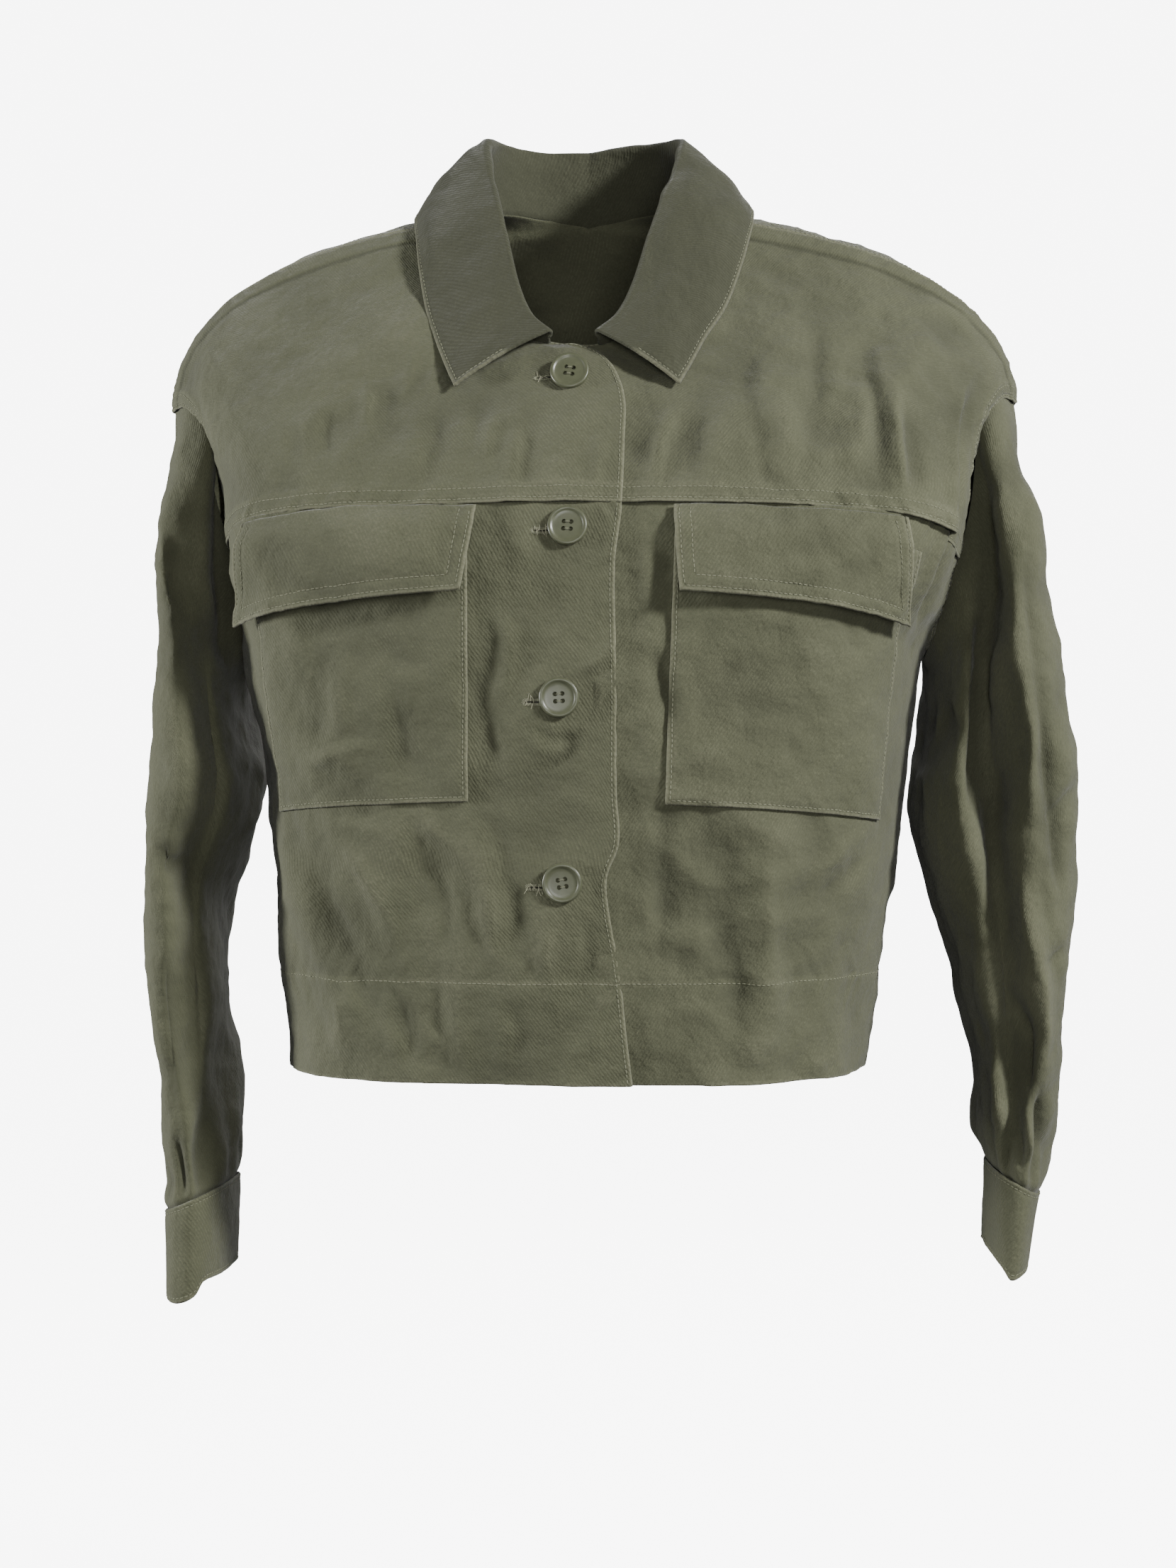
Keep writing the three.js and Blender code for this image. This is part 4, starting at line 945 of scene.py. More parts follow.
cuff_t = graded(CUFF_ROUND, coarse=2.2)
for side, seed in (("right", 500), ("left", 540)):
    grid = trimmed(cuff_grid(side, cuff_t), ("bottom",))
    cuts["cuff"] = cut_of(grid)
    away = edge_distances(grid)
    lap_edge = np.minimum(away["start"], away["end"])
    height = 0.5 + 0.3 * slack(grid, seed)
    for edge in ("bottom", "top"):
        height -= CHANNEL * np.exp(-(((away[edge] - EDGE_ROW) / 0.95) ** 2))
        height += 0.16 * pucker(away["start"], away[edge], seed + len(edge), reach=9)
    height += 1.1 * np.sin(away["start"] / 23 + seed) * smooth(away["bottom"], 20, 50)
    wear_and_shade = 0.7 * np.exp(-((away["top"] / 1.0) ** 2)) + 0.6 * np.exp(-((lap_edge / 1.0) ** 2))
    wear_and_shade += 0.3 * np.exp(-(away["bottom"] ** 2))
    cloth_piece(f"cuff_{side}", raised(grid, height), CUFF_CLOTH, side, wear_and_shade)
print("cuff:", cuts["cuff"])

# %% [markdown]
# ## Collar
# The collar is one folded band: it stands up from the neck seam, rolls over and falls as a leaf
# to a point on each side. At each station the roll is a half circle between two straight walls,
# and the outer edge follows the shoulders below it at a small distance.

# %% Collar
COLLAR = table(
    "at seam rollX rollY rollZ right left level lift",
    (0, 0.12, 13, -79, -85, 0.154, 0.13, 0.803, 2.4),
    (0.13, 0.26, 25, -73, -74, 0.168, 0.144, 0.82, 2.4),
    (0.27, 0.46, 34, -62, -54, 0.132, 0.112, 0.875, 2.6),
    (0.42, 0.7, 43, -43, -20, 0.092, 0.086, 0.924, 3),
    (0.56, 0.94, 54, -15, 20, 0.073, 0.078, 0.978, 5),
    (0.68, 1.22, 59, 14, 46, 0.09, 0.09, 1.01, 6),
    (0.8, 1.5, 48, 41, 50, 0.13, 0.13, 1.036, 5),
    (0.9, 1.75, 27, 56, 50, 0.115, 0.115, 1.052, 4.5),
    (1, 2, 0, 62, 50, 0, 0, 1.058, 4.5),
)
COLLAR_LENGTH = 285
COLLAR_SEAM_GAP = -0.4  # the stand is sewn to the neckline
ROLL_RADIUS = 2.5
LEAF_BULGE = 3
LEAF_DEPTH = 72


def seam_point(side, seam):
    front = body_point(side, 1, 0, mix(NECK_LEVEL, 1, np.clip(seam, 0, 1)))
    back = body_point(side, -1, 0, mix(1, BACK_NECK_LEVEL, np.clip(seam - 1, 0, 1)))
    return np.where((seam <= 1)[..., None], front, back)


def collar_edges(side):
    """The collar's table with the place of its outer edge added."""
    rows = dict(COLLAR)
    places = []
    for across, level, lift in zip(rows[side], rows["level"], rows["lift"]):
        half, at = (1, level) if level <= 1 else (-1, 2 - level)
        place = body_point(side, half, across, at)
        places.append(place + body_normal(side, half, np.array(across), np.array(at)) * lift)
    rows.update(zip(("edgeX", "edgeY", "edgeZ"), np.array(places).reshape(-1, 3).T))
    return rows


def collar_half(side, ats, leaf):
    rows = collar_edges(side)
    value = lambda name: column(rows, "at", name, ats)
    seam = seam_point(side, value("seam"))
    roll = points(value("rollX"), value("rollY"), value("rollZ"))
    edge = points(value("edgeX"), value("edgeY"), value("edgeZ"))
    up = unit(roll - (seam + edge) / 2)
    across = edge - seam
    across = unit(across - dot(across, up) * up)
    top = roll - up * ROLL_RADIUS
    start, stand_top = seam + up * COLLAR_SEAM_GAP, top - across * ROLL_RADIUS
    line = [mix(start, stand_top, t) for t in np.linspace(0, 1, 12)[:-1]]
    for turn in np.radians(np.linspace(0, 180, 13)):
        line.append(top - across * np.cos(turn) * ROLL_RADIUS + up * np.sin(turn) * ROLL_RADIUS)
    leaf_top = top + across * ROLL_RADIUS
    for t in leaf[1:]:
        line.append(mix(leaf_top, edge, t) + across * LEAF_BULGE * 4 * t * (1 - t))
    return np.stack(line, axis=0)


leaf = graded(LEAF_DEPTH, start=False, coarse=2.6, fine=0.9)
collar_ats = graded(COLLAR_LENGTH, end=False, coarse=2.6, fine=0.9)
right_half = collar_half("right", collar_ats, leaf) * [-1, 1, 1]
left_half = collar_half("left", collar_ats, leaf)[:, ::-1]
middle = (right_half[:, -1:] + left_half[:, :1]) / 2
collar_grid = np.concatenate([right_half[:, :-1], middle, left_half[:, 1:]], axis=1)
cuts["collar"] = cut_of(collar_grid)
away = edge_distances(collar_grid)
to_edge = np.minimum(away["top"], np.minimum(away["start"], away["end"]))
on_leaf = smooth(away["bottom"], 34, 44)
height = 0.8 * slack(collar_grid, 600) * on_leaf * smooth(to_edge, 3, 16)
height -= on_leaf * 0.4 * np.exp(-(((to_edge - EDGE_ROW) / 0.95) ** 2))
height += on_leaf * 0.2 * pucker(away["start"] + away["bottom"], to_edge, 610, reach=9)
collar_fade = on_leaf * 0.9 * np.exp(-((to_edge / 1.0) ** 2))
collar_fade += 0.12 * np.exp(-(((away["bottom"] - 40) / 5) ** 2))
collar_grid = raised(collar_grid, height)
cloth_piece("collar", collar_grid, COLLAR_CLOTH, "left", collar_fade, behind=COLLAR_CLOTH / 2)
print("collar:", cuts["collar"])

# %% [markdown]
# ## Pockets and flaps
# Patch pockets lie on the lower fronts, with their edges turned in and one row of stitches. The
# flaps hang from the yoke seam over the pockets' open tops, stiffer, with two rows of stitches,
# and their lower edges stand off and throw a shadow.

# %% Patches on the fronts
POCKETS = {
    "right": {
        "near": 57, "far": 190, "nearFlare": 0, "farFlare": 0, "top": -205, "height": 151, "farDrop": 4
    },
    "left": {
        "near": 61, "far": 203, "nearFlare": -6, "farFlare": -8, "top": -205, "height": 152, "farDrop": 8
    },
}
FLAPS = {
    "right": {"near": 52, "far": 197, "nearFlare": 7, "farFlare": 6, "top": -191, "height": 46, "farDrop": 5},
    "left": {"near": 60, "far": 192, "nearFlare": 3, "farFlare": 5, "top": -191, "height": 47, "farDrop": 4},
}
FLAP_LIFT = 6
POCKET_BULGE = 2
SEWN_GAP = 0.5
REST_GAP = 1.0


def patch_grid(side, place, t, down, lift_at):
    """A patch from its lower edge up, lifted off the front below it."""
    down, t = down[::-1][:, None], t[None, :]
    level = level_at(place["top"] - (place["height"] + place["farDrop"] * t) * down)
    near = across_at(side, level[:, 0], place["near"] + place["nearFlare"] * down[:, 0])
    far = across_at(side, level[:, -1], place["far"] + place["farFlare"] * down[:, 0])
    across = mix(near[:, None], far[:, None], t)
    lift = lift_at(t, down)
    return body_point(side, 1, across, level) + body_normal(side, 1, across, level) * lift[..., None]


def patch(name, node_side, grid, wall, rows, seed):
    """Turned and stitched at the sides and the lower edge. It lies over the front's own creases."""
    away = edge_distances(grid)
    to_edge = np.minimum(away["bottom"], np.minimum(away["start"], away["end"]))
    front_seed = 100 if node_side == "right" else 200
    height = slack(grid, front_seed) + crease_height(node_side, "front", grid)
    # Painted shade in the valleys of the front's creases, and pale wear on their ridges.
    ridge = ridge_wear_valley_shade(height)
    for row in rows:
        height -= CHANNEL * np.exp(-(((to_edge - row) / 0.95) ** 2))
    height += 0.2 * pucker(away["start"] + away["bottom"], to_edge, seed + 1, reach=9)
    wear_and_shade = ridge + 0.9 * np.exp(-((to_edge / 0.9) ** 2))
    for row in rows:
        wear_and_shade = wear_and_shade + 0.22 * np.exp(-(((to_edge - row - 1.3) / 0.9) ** 2))
    cloth_piece(name, raised(grid, height), wall, node_side, wear_and_shade, behind=wall)


for side, seed in (("right", 700), ("left", 750)):
    bulge = lambda t, down: REST_GAP + POCKET_BULGE * (4 * t * (1 - t)) ** 0.6 * (1 - smooth(down, 0.55, 1))
    over_pocket = POCKET_BULGE + POCKET_CLOTH + 1
    lift = lambda t, down: SEWN_GAP + over_pocket * smooth(down, 0, 0.3) + FLAP_LIFT * down**1.5 + 0 * t
    pocket_down = graded(POCKETS[side]["height"], start=False)
    grid = patch_grid(side, POCKETS[side], graded(135), pocket_down, bulge)
    cuts["pocket"] = cut_of(grid)
    patch(f"pocket_{side}", side, grid, POCKET_CLOTH, SINGLE, seed)
    flap_down = graded(FLAPS[side]["height"], start=False, coarse=2.2)
    grid = patch_grid(side, FLAPS[side], graded(140), flap_down, lift)
    cuts["flap"] = cut_of(grid)
    patch(f"flap_{side}", side, grid, FLAP_CLOTH, DOUBLE, seed + 20)
print("pocket:", cuts["pocket"], "flap:", cuts["flap"])

# %% [markdown]
# ## Finishes
# Cotton twill shows fine diagonal lines, a slightly mottled dye and paler edges where it rubs.
# The lines follow the cloth's own UV map, and the mottling lies in the piece's space. An
# attribute that each piece carries says where its edges and ridges are worn pale, and where its
# valleys are darkened with painted shade. Bump gives the weave its grain. The collar's colour is
# darkened all over, as painted shade.

# %% Twill
CLOTH_DARK = (0.08, 0.083, 0.05, 1)
CLOTH_LIGHT = (0.138, 0.141, 0.09, 1)
CLOTH_FADED = (0.19, 0.19, 0.127, 1)
TWILL_SCALE = 175  # bands for each metre of cloth, in the texture's own measure
TWILL_TURN = 33


def shaded(colour, factor):
    return (*(c * factor for c in colour[:3]), 1)


def set_inputs(node, **values):
    """Gives a node's inputs their values, with _ for the spaces in their names."""
    for name, value in values.items():
        node.inputs[name.replace("_", " ")].default_value = value


def node_maker(material):
    """Short ways to add and join a material's nodes."""
    material.use_nodes = True
    nodes, links = material.node_tree.nodes, material.node_tree.links

    def add(kind, inputs=(), **settings):
        node = nodes.new("ShaderNode" + kind)
        for name, value in settings.items():
            setattr(node, name, value)
        for name, value in dict(inputs).items():
            if isinstance(value, bpy.types.NodeSocket):
                links.new(value, node.inputs[name])
            else:
                node.inputs[name].default_value = value
        return node

    return add, nodes["Principled BSDF"], links


def twill(name, depth=1.0):
    """A depth below 1 darkens the whole colour, as painted shade."""
    material = bpy.data.materials.new(name)
    add, shader, links = node_maker(material)
    cloth_uv = add("UVMap", uv_map="cloth").outputs["UV"]
    place = add("TexCoord").outputs["Object"]
    turned = add("Mapping", {"Vector": cloth_uv, "Rotation": (0, 0, math.radians(TWILL_TURN))})
    lines = add("TexWave", {"Vector": turned.outputs[0], "Scale": TWILL_SCALE, "Distortion": 1.2,
                            "Detail": 1.0, "Detail Scale": 3.0})
    mottle = add("TexNoise", {"Vector": place, "Scale": 26, "Detail": 5, "Roughness": 0.6})
    slub = add("TexNoise", {"Vector": cloth_uv, "Scale": 520, "Detail": 3, "Roughness": 0.7})
    wear_and_shade = add("Attribute", attribute_name="wear_and_shade").outputs["Fac"]
    tone = add("Math", {0: mottle.outputs["Fac"], 1: lines.outputs["Fac"]}, operation="MULTIPLY_ADD")
    tone.inputs[1].default_value = 0.9
    links.new(slub.outputs["Fac"], tone.inputs[2])
    shade = add("MapRange", {"Value": tone.outputs[0], "From Min": 0.68, "From Max": 1.28})
    dyed = add("Mix", {"Factor": shade.outputs[0]}, data_type="RGBA")
    dyed.inputs[6].default_value = shaded(CLOTH_DARK, depth)
    dyed.inputs[7].default_value = shaded(CLOTH_LIGHT, depth)
    grain = add("Mix", {"Factor": lines.outputs["Fac"]}, data_type="RGBA", blend_type="MULTIPLY")
    links.new(dyed.outputs[2], grain.inputs[6])
    grain.inputs[7].default_value = (0.74, 0.75, 0.71, 1)
    rub = add("Math", {0: wear_and_shade, 1: slub.outputs["Fac"]}, operation="MULTIPLY")
    rubbed = add("MapRange", {"Value": rub.outputs[0], "From Min": 0.05, "From Max": 0.6, "To Max": 0.6})
    worn = add("Mix", {"Factor": rubbed.outputs[0]}, data_type="RGBA")
    links.new(grain.outputs[2], worn.inputs[6])
    worn.inputs[7].default_value = CLOTH_FADED
    # Painted shade: where the attribute is below 0, in the crease valleys, the colour is darkened.
    hollow = add("MapRange", {"Value": wear_and_shade, "From Min": -0.36, "From Max": 0.0, "To Min": 0.68})
    shaded_in_valleys = add("Mix", {"Factor": 1.0}, data_type="RGBA", blend_type="MULTIPLY")
    links.new(worn.outputs[2], shaded_in_valleys.inputs[6])
    links.new(hollow.outputs[0], shaded_in_valleys.inputs[7])
    links.new(shaded_in_valleys.outputs[2], shader.inputs["Base Color"])
    weave = add("Bump", {"Height": lines.outputs["Fac"], "Strength": 0.35, "Distance": 0.0003})
    fibre = add("Bump", {"Height": slub.outputs["Fac"], "Strength": 0.3, "Distance": 0.0004,
                         "Normal": weave.outputs[0]})
    rumple = add("TexNoise", {"Vector": place, "Scale": 60, "Detail": 6, "Roughness": 0.62})
    soft = add("Bump", {"Height": rumple.outputs["Fac"], "Strength": 0.8, "Distance": 0.003,
                        "Normal": fibre.outputs[0]})
    links.new(soft.outputs[0], shader.inputs["Normal"])
    set_inputs(shader, Roughness=0.88, Specular_IOR_Level=0.25, Sheen_Weight=0.12, Sheen_Roughness=0.5)
    return material


cloth_finish = twill("olive twill")
# The collar's colour is darkened all over as painted shade.
collar_painted_shade_finish = twill("olive twill with painted shade, collar", 0.55)

# %% Thread, buttons and frayed thread
THREAD = (0.19, 0.195, 0.128, 1)
PALE_THREAD = (0.36, 0.35, 0.25, 1)
BUTTON_DARK = (0.06, 0.065, 0.037, 1)
BUTTON_LIGHT = (0.088, 0.094, 0.055, 1)


def plain_finish(name, dark, light, scale, roughness, bump):
    """Two shades mixed by a fine noise in the piece's space."""
    material = bpy.data.materials.new(name)
    add, shader, links = node_maker(material)
    place = add("TexCoord").outputs["Object"]
    grain = add("TexNoise", {"Vector": place, "Scale": scale, "Detail": 4})
    shades = add("Mix", {"Factor": grain.outputs["Fac"]}, data_type="RGBA")
    shades.inputs[6].default_value, shades.inputs[7].default_value = dark, light
    links.new(shades.outputs[2], shader.inputs["Base Color"])
    relief = add("Bump", {"Height": grain.outputs["Fac"], "Strength": 0.4, "Distance": bump})
    links.new(relief.outputs[0], shader.inputs["Normal"])
    shader.inputs["Roughness"].default_value = roughness
    return material


thread_finish = plain_finish("olive thread", shaded(THREAD, 0.75), THREAD, 900, 0.8, 0.0001)
pale_finish = plain_finish("frayed thread", shaded(PALE_THREAD, 0.7), PALE_THREAD, 900, 0.85, 0.0001)
button_finish = plain_finish("olive button", BUTTON_DARK, BUTTON_LIGHT, 300, 0.36, 0.00004)
# The slits' near-black colour is painted shade in the buttonhole openings.
SLIT_SHADE = (0.02, 0.02, 0.012, 1)
slit_shade_finish = plain_finish("buttonhole slit", shaded(SLIT_SHADE, 0.6), SLIT_SHADE, 300, 0.95, 0.0001)

# %% [markdown]
# ## Stitches
# Sewing is hundreds of equal short stitches along a row, each a small ridge of thread that dips
# into the cloth at both ends. Geometry Nodes puts one small stitch on every point of a row and
# turns it along the seam. The rows are read from the finished cloth, at a distance from an edge,
# so they lie in the channels that the relief already has.

# %% Rows on the finished cloth
STITCH_PITCH = 2.9


def row_beside(name, edge, inset, low=0.0, high=1.0):
    """A line on a piece at a distance from one edge, between two fractions of it."""
    grid, normals = pieces[name]["grid"], pieces[name]["normals"]
    if edge in ("start", "end"):
        grid, normals = grid.transpose(1, 0, 2), normals.transpose(1, 0, 2)
    if edge in ("top", "end"):
        grid, normals = grid[::-1], normals[::-1]
    away = walked(grid, 0)
    line, facing = [], []
    for j in range(round(low * (grid.shape[1] - 1)), round(high * (grid.shape[1] - 1)) + 1):
        line.append([np.interp(inset, away[:, j], grid[:, j, a]) for a in range(3)])
        facing.append([np.interp(inset, away[:, j], normals[:, j, a]) for a in range(3)])
    return np.array(line), unit(np.array(facing))


def cut_ends(line, facing, start, end):
    """Leaves out a length at each end of a row."""
    walk = np.concatenate([[0], np.cumsum(np.linalg.norm(np.diff(line, axis=0), axis=1))])
    keep = (walk >= start) & (walk <= walk[-1] - end)
    return line[keep], facing[keep]


def add_row(line, facing, start=0.0, end=0.0, pitch=STITCH_PITCH):
    """Stores the stitches of one row: centres, directions and the way the cloth faces."""
    line, facing = cut_ends(line, facing, start, end)
    if len(line) < 2:
        return
    walk = np.concatenate([[0], np.cumsum(np.linalg.norm(np.diff(line, axis=0), axis=1))])
    spots = np.arange(pitch / 2, walk[-1], pitch)
    at = lambda values, s: np.stack([np.interp(s, walk, values[:, a]) for a in range(3)], axis=-1)
    along = unit(at(line, spots + 0.6) - at(line, spots - 0.6))
    stitch_rows.append((at(line, spots), along, unit(at(facing, spots))))


def rows_beside(name, edge, insets, start=0.0, end=0.0, low=0.0, high=1.0):
    for inset in insets:
        line, facing = row_beside(name, edge, inset, low, high)
        add_row(line, facing, start, end)


for side in ("right", "left"):
    front, yoke = f"front_{side}", f"front_yoke_{side}"
    rows_beside(yoke, "bottom", DOUBLE, 1, 1)
    rows_beside(yoke, "end", DOUBLE, 2, 1)
    rows_beside(front, "bottom", (HEM_HEIGHT,), 1, 1)
    high_part = float(np.mean(pieces[front]["grid"][:, -1, 2] < SEWN_ABOVE))
    rows_beside(front, "end", DOUBLE, 1, 2, low=high_part)
    for name in (front, yoke):
        rows_beside(name, "start", SINGLE, 1, 1)
    rows_beside(f"pocket_{side}", "bottom", SINGLE, EDGE_ROW, EDGE_ROW)
    rows_beside(f"pocket_{side}", "start", SINGLE, EDGE_ROW, 0)
    rows_beside(f"pocket_{side}", "end", SINGLE, EDGE_ROW, 0)
    for row in DOUBLE:
        rows_beside(f"flap_{side}", "bottom", (row,), row, row)
        rows_beside(f"flap_{side}", "start", (row,), row, 1)
        rows_beside(f"flap_{side}", "end", (row,), row, 1)
    for edge in ("bottom", "top"):
        rows_beside(f"cuff_{side}", edge, SINGLE, EDGE_ROW, EDGE_ROW)
    rows_beside(f"cuff_{side}", "end", SINGLE, EDGE_ROW, EDGE_ROW)
rows_beside("back", "bottom", (HEM_HEIGHT,), 1, 1)
for low, high in ((0, 0.495), (0.505, 1)):
    rows_beside("back", "top", DOUBLE, 1, 1, low, high)
high_part = float(np.mean(pieces["back"]["grid"][:, 0, 2] < SEWN_ABOVE))
for edge in ("start", "end"):
    rows_beside("back", edge, DOUBLE, 1, 2, low=high_part)
rows_beside("collar", "top", SINGLE, EDGE_ROW, EDGE_ROW)
leaf_part = float(np.mean(edge_distances(collar_grid)["bottom"][:, 0] < 40))
for edge in ("start", "end"):
    rows_beside("collar", edge, SINGLE, 0, EDGE_ROW, low=leaf_part)
print("stitches:", sum(len(row[0]) for row in stitch_rows))

# %% A node tree that lays a bead of thread on each point
def thread_tree():
    tree = bpy.data.node_groups.new("beads of thread", "GeometryNodeTree")
    face = tree.interface
    face.new_socket("Geometry", in_out="INPUT", socket_type="NodeSocketGeometry")
    for name in ("Length", "Width", "Height", "Unevenness"):
        face.new_socket(name, in_out="INPUT", socket_type="NodeSocketFloat")
    face.new_socket("Seed", in_out="INPUT", socket_type="NodeSocketInt")
    face.new_socket("Material", in_out="INPUT", socket_type="NodeSocketMaterial")
    face.new_socket("Geometry", in_out="OUTPUT", socket_type="NodeSocketGeometry")
    nodes, links = tree.nodes, tree.links
    given, result = nodes.new("NodeGroupInput"), nodes.new("NodeGroupOutput")
    bead = nodes.new("GeometryNodeMeshUVSphere")
    set_inputs(bead, Segments=6, Rings=4, Radius=0.5)
    rounded = nodes.new("GeometryNodeSetShadeSmooth")
    size = nodes.new("ShaderNodeCombineXYZ")
    spread = nodes.new("FunctionNodeRandomValue")
    less, more = nodes.new("ShaderNodeMath"), nodes.new("ShaderNodeMath")
    less.operation, more.operation = "SUBTRACT", "ADD"
    less.inputs[0].default_value = more.inputs[0].default_value = 1.0
    scaled = nodes.new("ShaderNodeVectorMath")
    scaled.operation = "SCALE"
    turn = nodes.new("FunctionNodeAxesToRotation")
    turn.primary_axis, turn.secondary_axis = "X", "Z"
    readers = []
    for name in ("along", "facing"):
        reader = nodes.new("GeometryNodeInputNamedAttribute")
        reader.data_type = "FLOAT_VECTOR"
        reader.inputs["Name"].default_value = name
        readers.append(reader.outputs["Attribute"])
    lay = nodes.new("GeometryNodeInstanceOnPoints")
    real = nodes.new("GeometryNodeRealizeInstances")
    coat = nodes.new("GeometryNodeSetMaterial")
    for axis, name in zip("XYZ", ("Length", "Width", "Height")):
        links.new(given.outputs[name], size.inputs[axis])
    links.new(given.outputs["Unevenness"], less.inputs[1])
    links.new(given.outputs["Unevenness"], more.inputs[1])
    numbers = [s for s in spread.inputs if s.type == "VALUE"]
    links.new(less.outputs[0], numbers[0])
    links.new(more.outputs[0], numbers[1])
    links.new(given.outputs["Seed"], spread.inputs["Seed"])
    links.new(size.outputs[0], scaled.inputs[0])
    links.new([s for s in spread.outputs if s.type == "VALUE"][0], scaled.inputs["Scale"])
    links.new(readers[0], turn.inputs["Primary Axis"])
    links.new(readers[1], turn.inputs["Secondary Axis"])
    links.new(bead.outputs["Mesh"], rounded.inputs["Geometry"])
    links.new(given.outputs["Geometry"], lay.inputs["Points"])
    links.new(rounded.outputs["Geometry"], lay.inputs["Instance"])
    links.new(turn.outputs["Rotation"], lay.inputs["Rotation"])
    links.new(scaled.outputs[0], lay.inputs["Scale"])
    links.new(lay.outputs["Instances"], real.inputs["Geometry"])
    links.new(real.outputs["Geometry"], coat.inputs["Geometry"])
    links.new(given.outputs["Material"], coat.inputs["Material"])
    links.new(coat.outputs["Geometry"], result.inputs["Geometry"])
    return tree


beads_of_thread = thread_tree()


def lay_thread(name, rows, material, length, width, height, unevenness=0.1, lift=0.1):
    """Lays beads of thread along rows of (centres, directions, facings), as one plain mesh."""
    centres, along, facing = (np.concatenate([row[i] for row in rows]) for i in range(3))
    mesh = bpy.data.meshes.new(name)
    mesh.from_pydata(((centres + facing * lift) / 1000).tolist(), [], [])
    for label, values in (("along", along), ("facing", facing)):
        mesh.attributes.new(label, "FLOAT_VECTOR", "POINT").data.foreach_set("vector", values.ravel())
    obj = bpy.data.objects.new(name, mesh)
    modifier = obj.modifiers.new("beads", "NODES")
    modifier.node_group = beads_of_thread
    sizes = {"Length": length / 1000, "Width": width / 1000, "Height": height / 1000,
             "Unevenness": unevenness, "Seed": SEED, "Material": material}
    for item in beads_of_thread.interface.items_tree:
        if item.in_out == "INPUT" and item.name in sizes:
            modifier[item.identifier] = sizes[item.name]
    bpy.context.scene.collection.objects.link(obj)
    graph = bpy.context.evaluated_depsgraph_get()
    made = bpy.data.meshes.new_from_object(obj.evaluated_get(graph))
    obj.modifiers.clear()
    obj.data = made
    return obj


sewing = lay_thread("sewing", stitch_rows, thread_finish, 2.5, 0.62, 0.5)
print("sewing:", len(sewing.data.polygons), "faces")

# %% [markdown]
# ## Buttons
# The buttons are turned plastic: a raised rim round a shallow dish with four holes, sewn on with
# two bars of thread. The profile is turned in code, the holes are cut with a Boolean, and each
# button is a copy of that one mesh, set square on the cloth below it.

# %% Turn and drill one button
BUTTON_RADIUS, BUTTON_HEIGHT = 11.3, 3.4
BUTTON_RIM, BUTTON_RECESS = 2.2, 0.9
HOLE_RADIUS, HOLE_SPREAD = 1.3, 2.9
BUTTON_CLEARANCE = 0.35
TOP_BUTTON_LEAN = np.array([0, -0.8, 0])  # the top button hangs out from the sloping cloth
CUFF_BUTTON_SCALE = 0.72
CUFF_BUTTON_AT = 29 / 30  # fraction of the way round the cuff
BUTTONS = table("z aside", (-111, 1.5), (-202, 0), (-298, 4.5), (-402, 3))
UNDER_BUTTON = ["front_yoke_right", "front_right", "front_right", "front_right"]


def turned(name, profile, segments, centre=(0, 0)):
    """A closed shape turned about Z, from (radius, height) places that start and end on the axis."""
    profile = np.array(profile, float)
    ring = np.arange(segments) * 2 * np.pi / segments
    inner = profile[1:-1]
    x = inner[:, :1] * np.cos(ring) + centre[0]
    y = inner[:, :1] * np.sin(ring) + centre[1]
    z = np.repeat(inner[:, 1:], segments, axis=1)
    place = np.stack([x, y, z], axis=-1).reshape(-1, 3)
    place = np.concatenate([place, [[*centre, profile[0, 1]], [*centre, profile[-1, 1]]]])
    low, high = len(place) - 2, len(place) - 1
    faces = []
    for j in range(segments):
        k = (j + 1) % segments
        faces.append((low, k, j))
        for i in range(len(inner) - 1):
            a = i * segments
            faces.append((a + j, a + k, a + segments + k, a + segments + j))
        last = (len(inner) - 1) * segments
        faces.append((high, last + j, last + k))
    mesh = bpy.data.meshes.new(name)
    mesh.from_pydata(place.tolist(), [], faces)
    return bpy.data.objects.new(name, mesh)


dish = BUTTON_RADIUS - BUTTON_RIM
low_top = BUTTON_HEIGHT - BUTTON_RECESS
profile = [
    (0, 0), (BUTTON_RADIUS - 1.3, 0), (BUTTON_RADIUS - 0.3, 0.5), (BUTTON_RADIUS, 1.3),
    (BUTTON_RADIUS, 2.3), (BUTTON_RADIUS - 0.25, 3.0), (BUTTON_RADIUS - 0.8, 3.35),
    (BUTTON_RADIUS - 1.4, BUTTON_HEIGHT), (dish + 0.2, 3.2), (dish - 0.3, 2.75),
    (dish - 0.9, low_top), (dish - 2.5, low_top - 0.12), (3, low_top - 0.2), (0, low_top - 0.2),
]
blank = turned("blank", profile, 56)
drills = []
for x, y in ((-1, -1), (-1, 1), (1, -1), (1, 1)):
    centre = (x * HOLE_SPREAD / math.sqrt(2), y * HOLE_SPREAD / math.sqrt(2))
    hole = [(0, -1), (HOLE_RADIUS, -1), (HOLE_RADIUS, 5), (0, 5)]
    drills.append(turned("drill", hole, 16, centre))
for obj in (blank, *drills):
    bpy.context.scene.collection.objects.link(obj)
for drill in drills:
    cut = blank.modifiers.new("hole", "BOOLEAN")
    cut.operation, cut.object, cut.solver = "DIFFERENCE", drill, "EXACT"
bpy.context.view_layer.update()
graph = bpy.context.evaluated_depsgraph_get()
button_mesh = bpy.data.meshes.new_from_object(blank.evaluated_get(graph))
for obj in (blank, *drills):
    bpy.data.objects.remove(obj)
print("button:", len(button_mesh.vertices), "points")


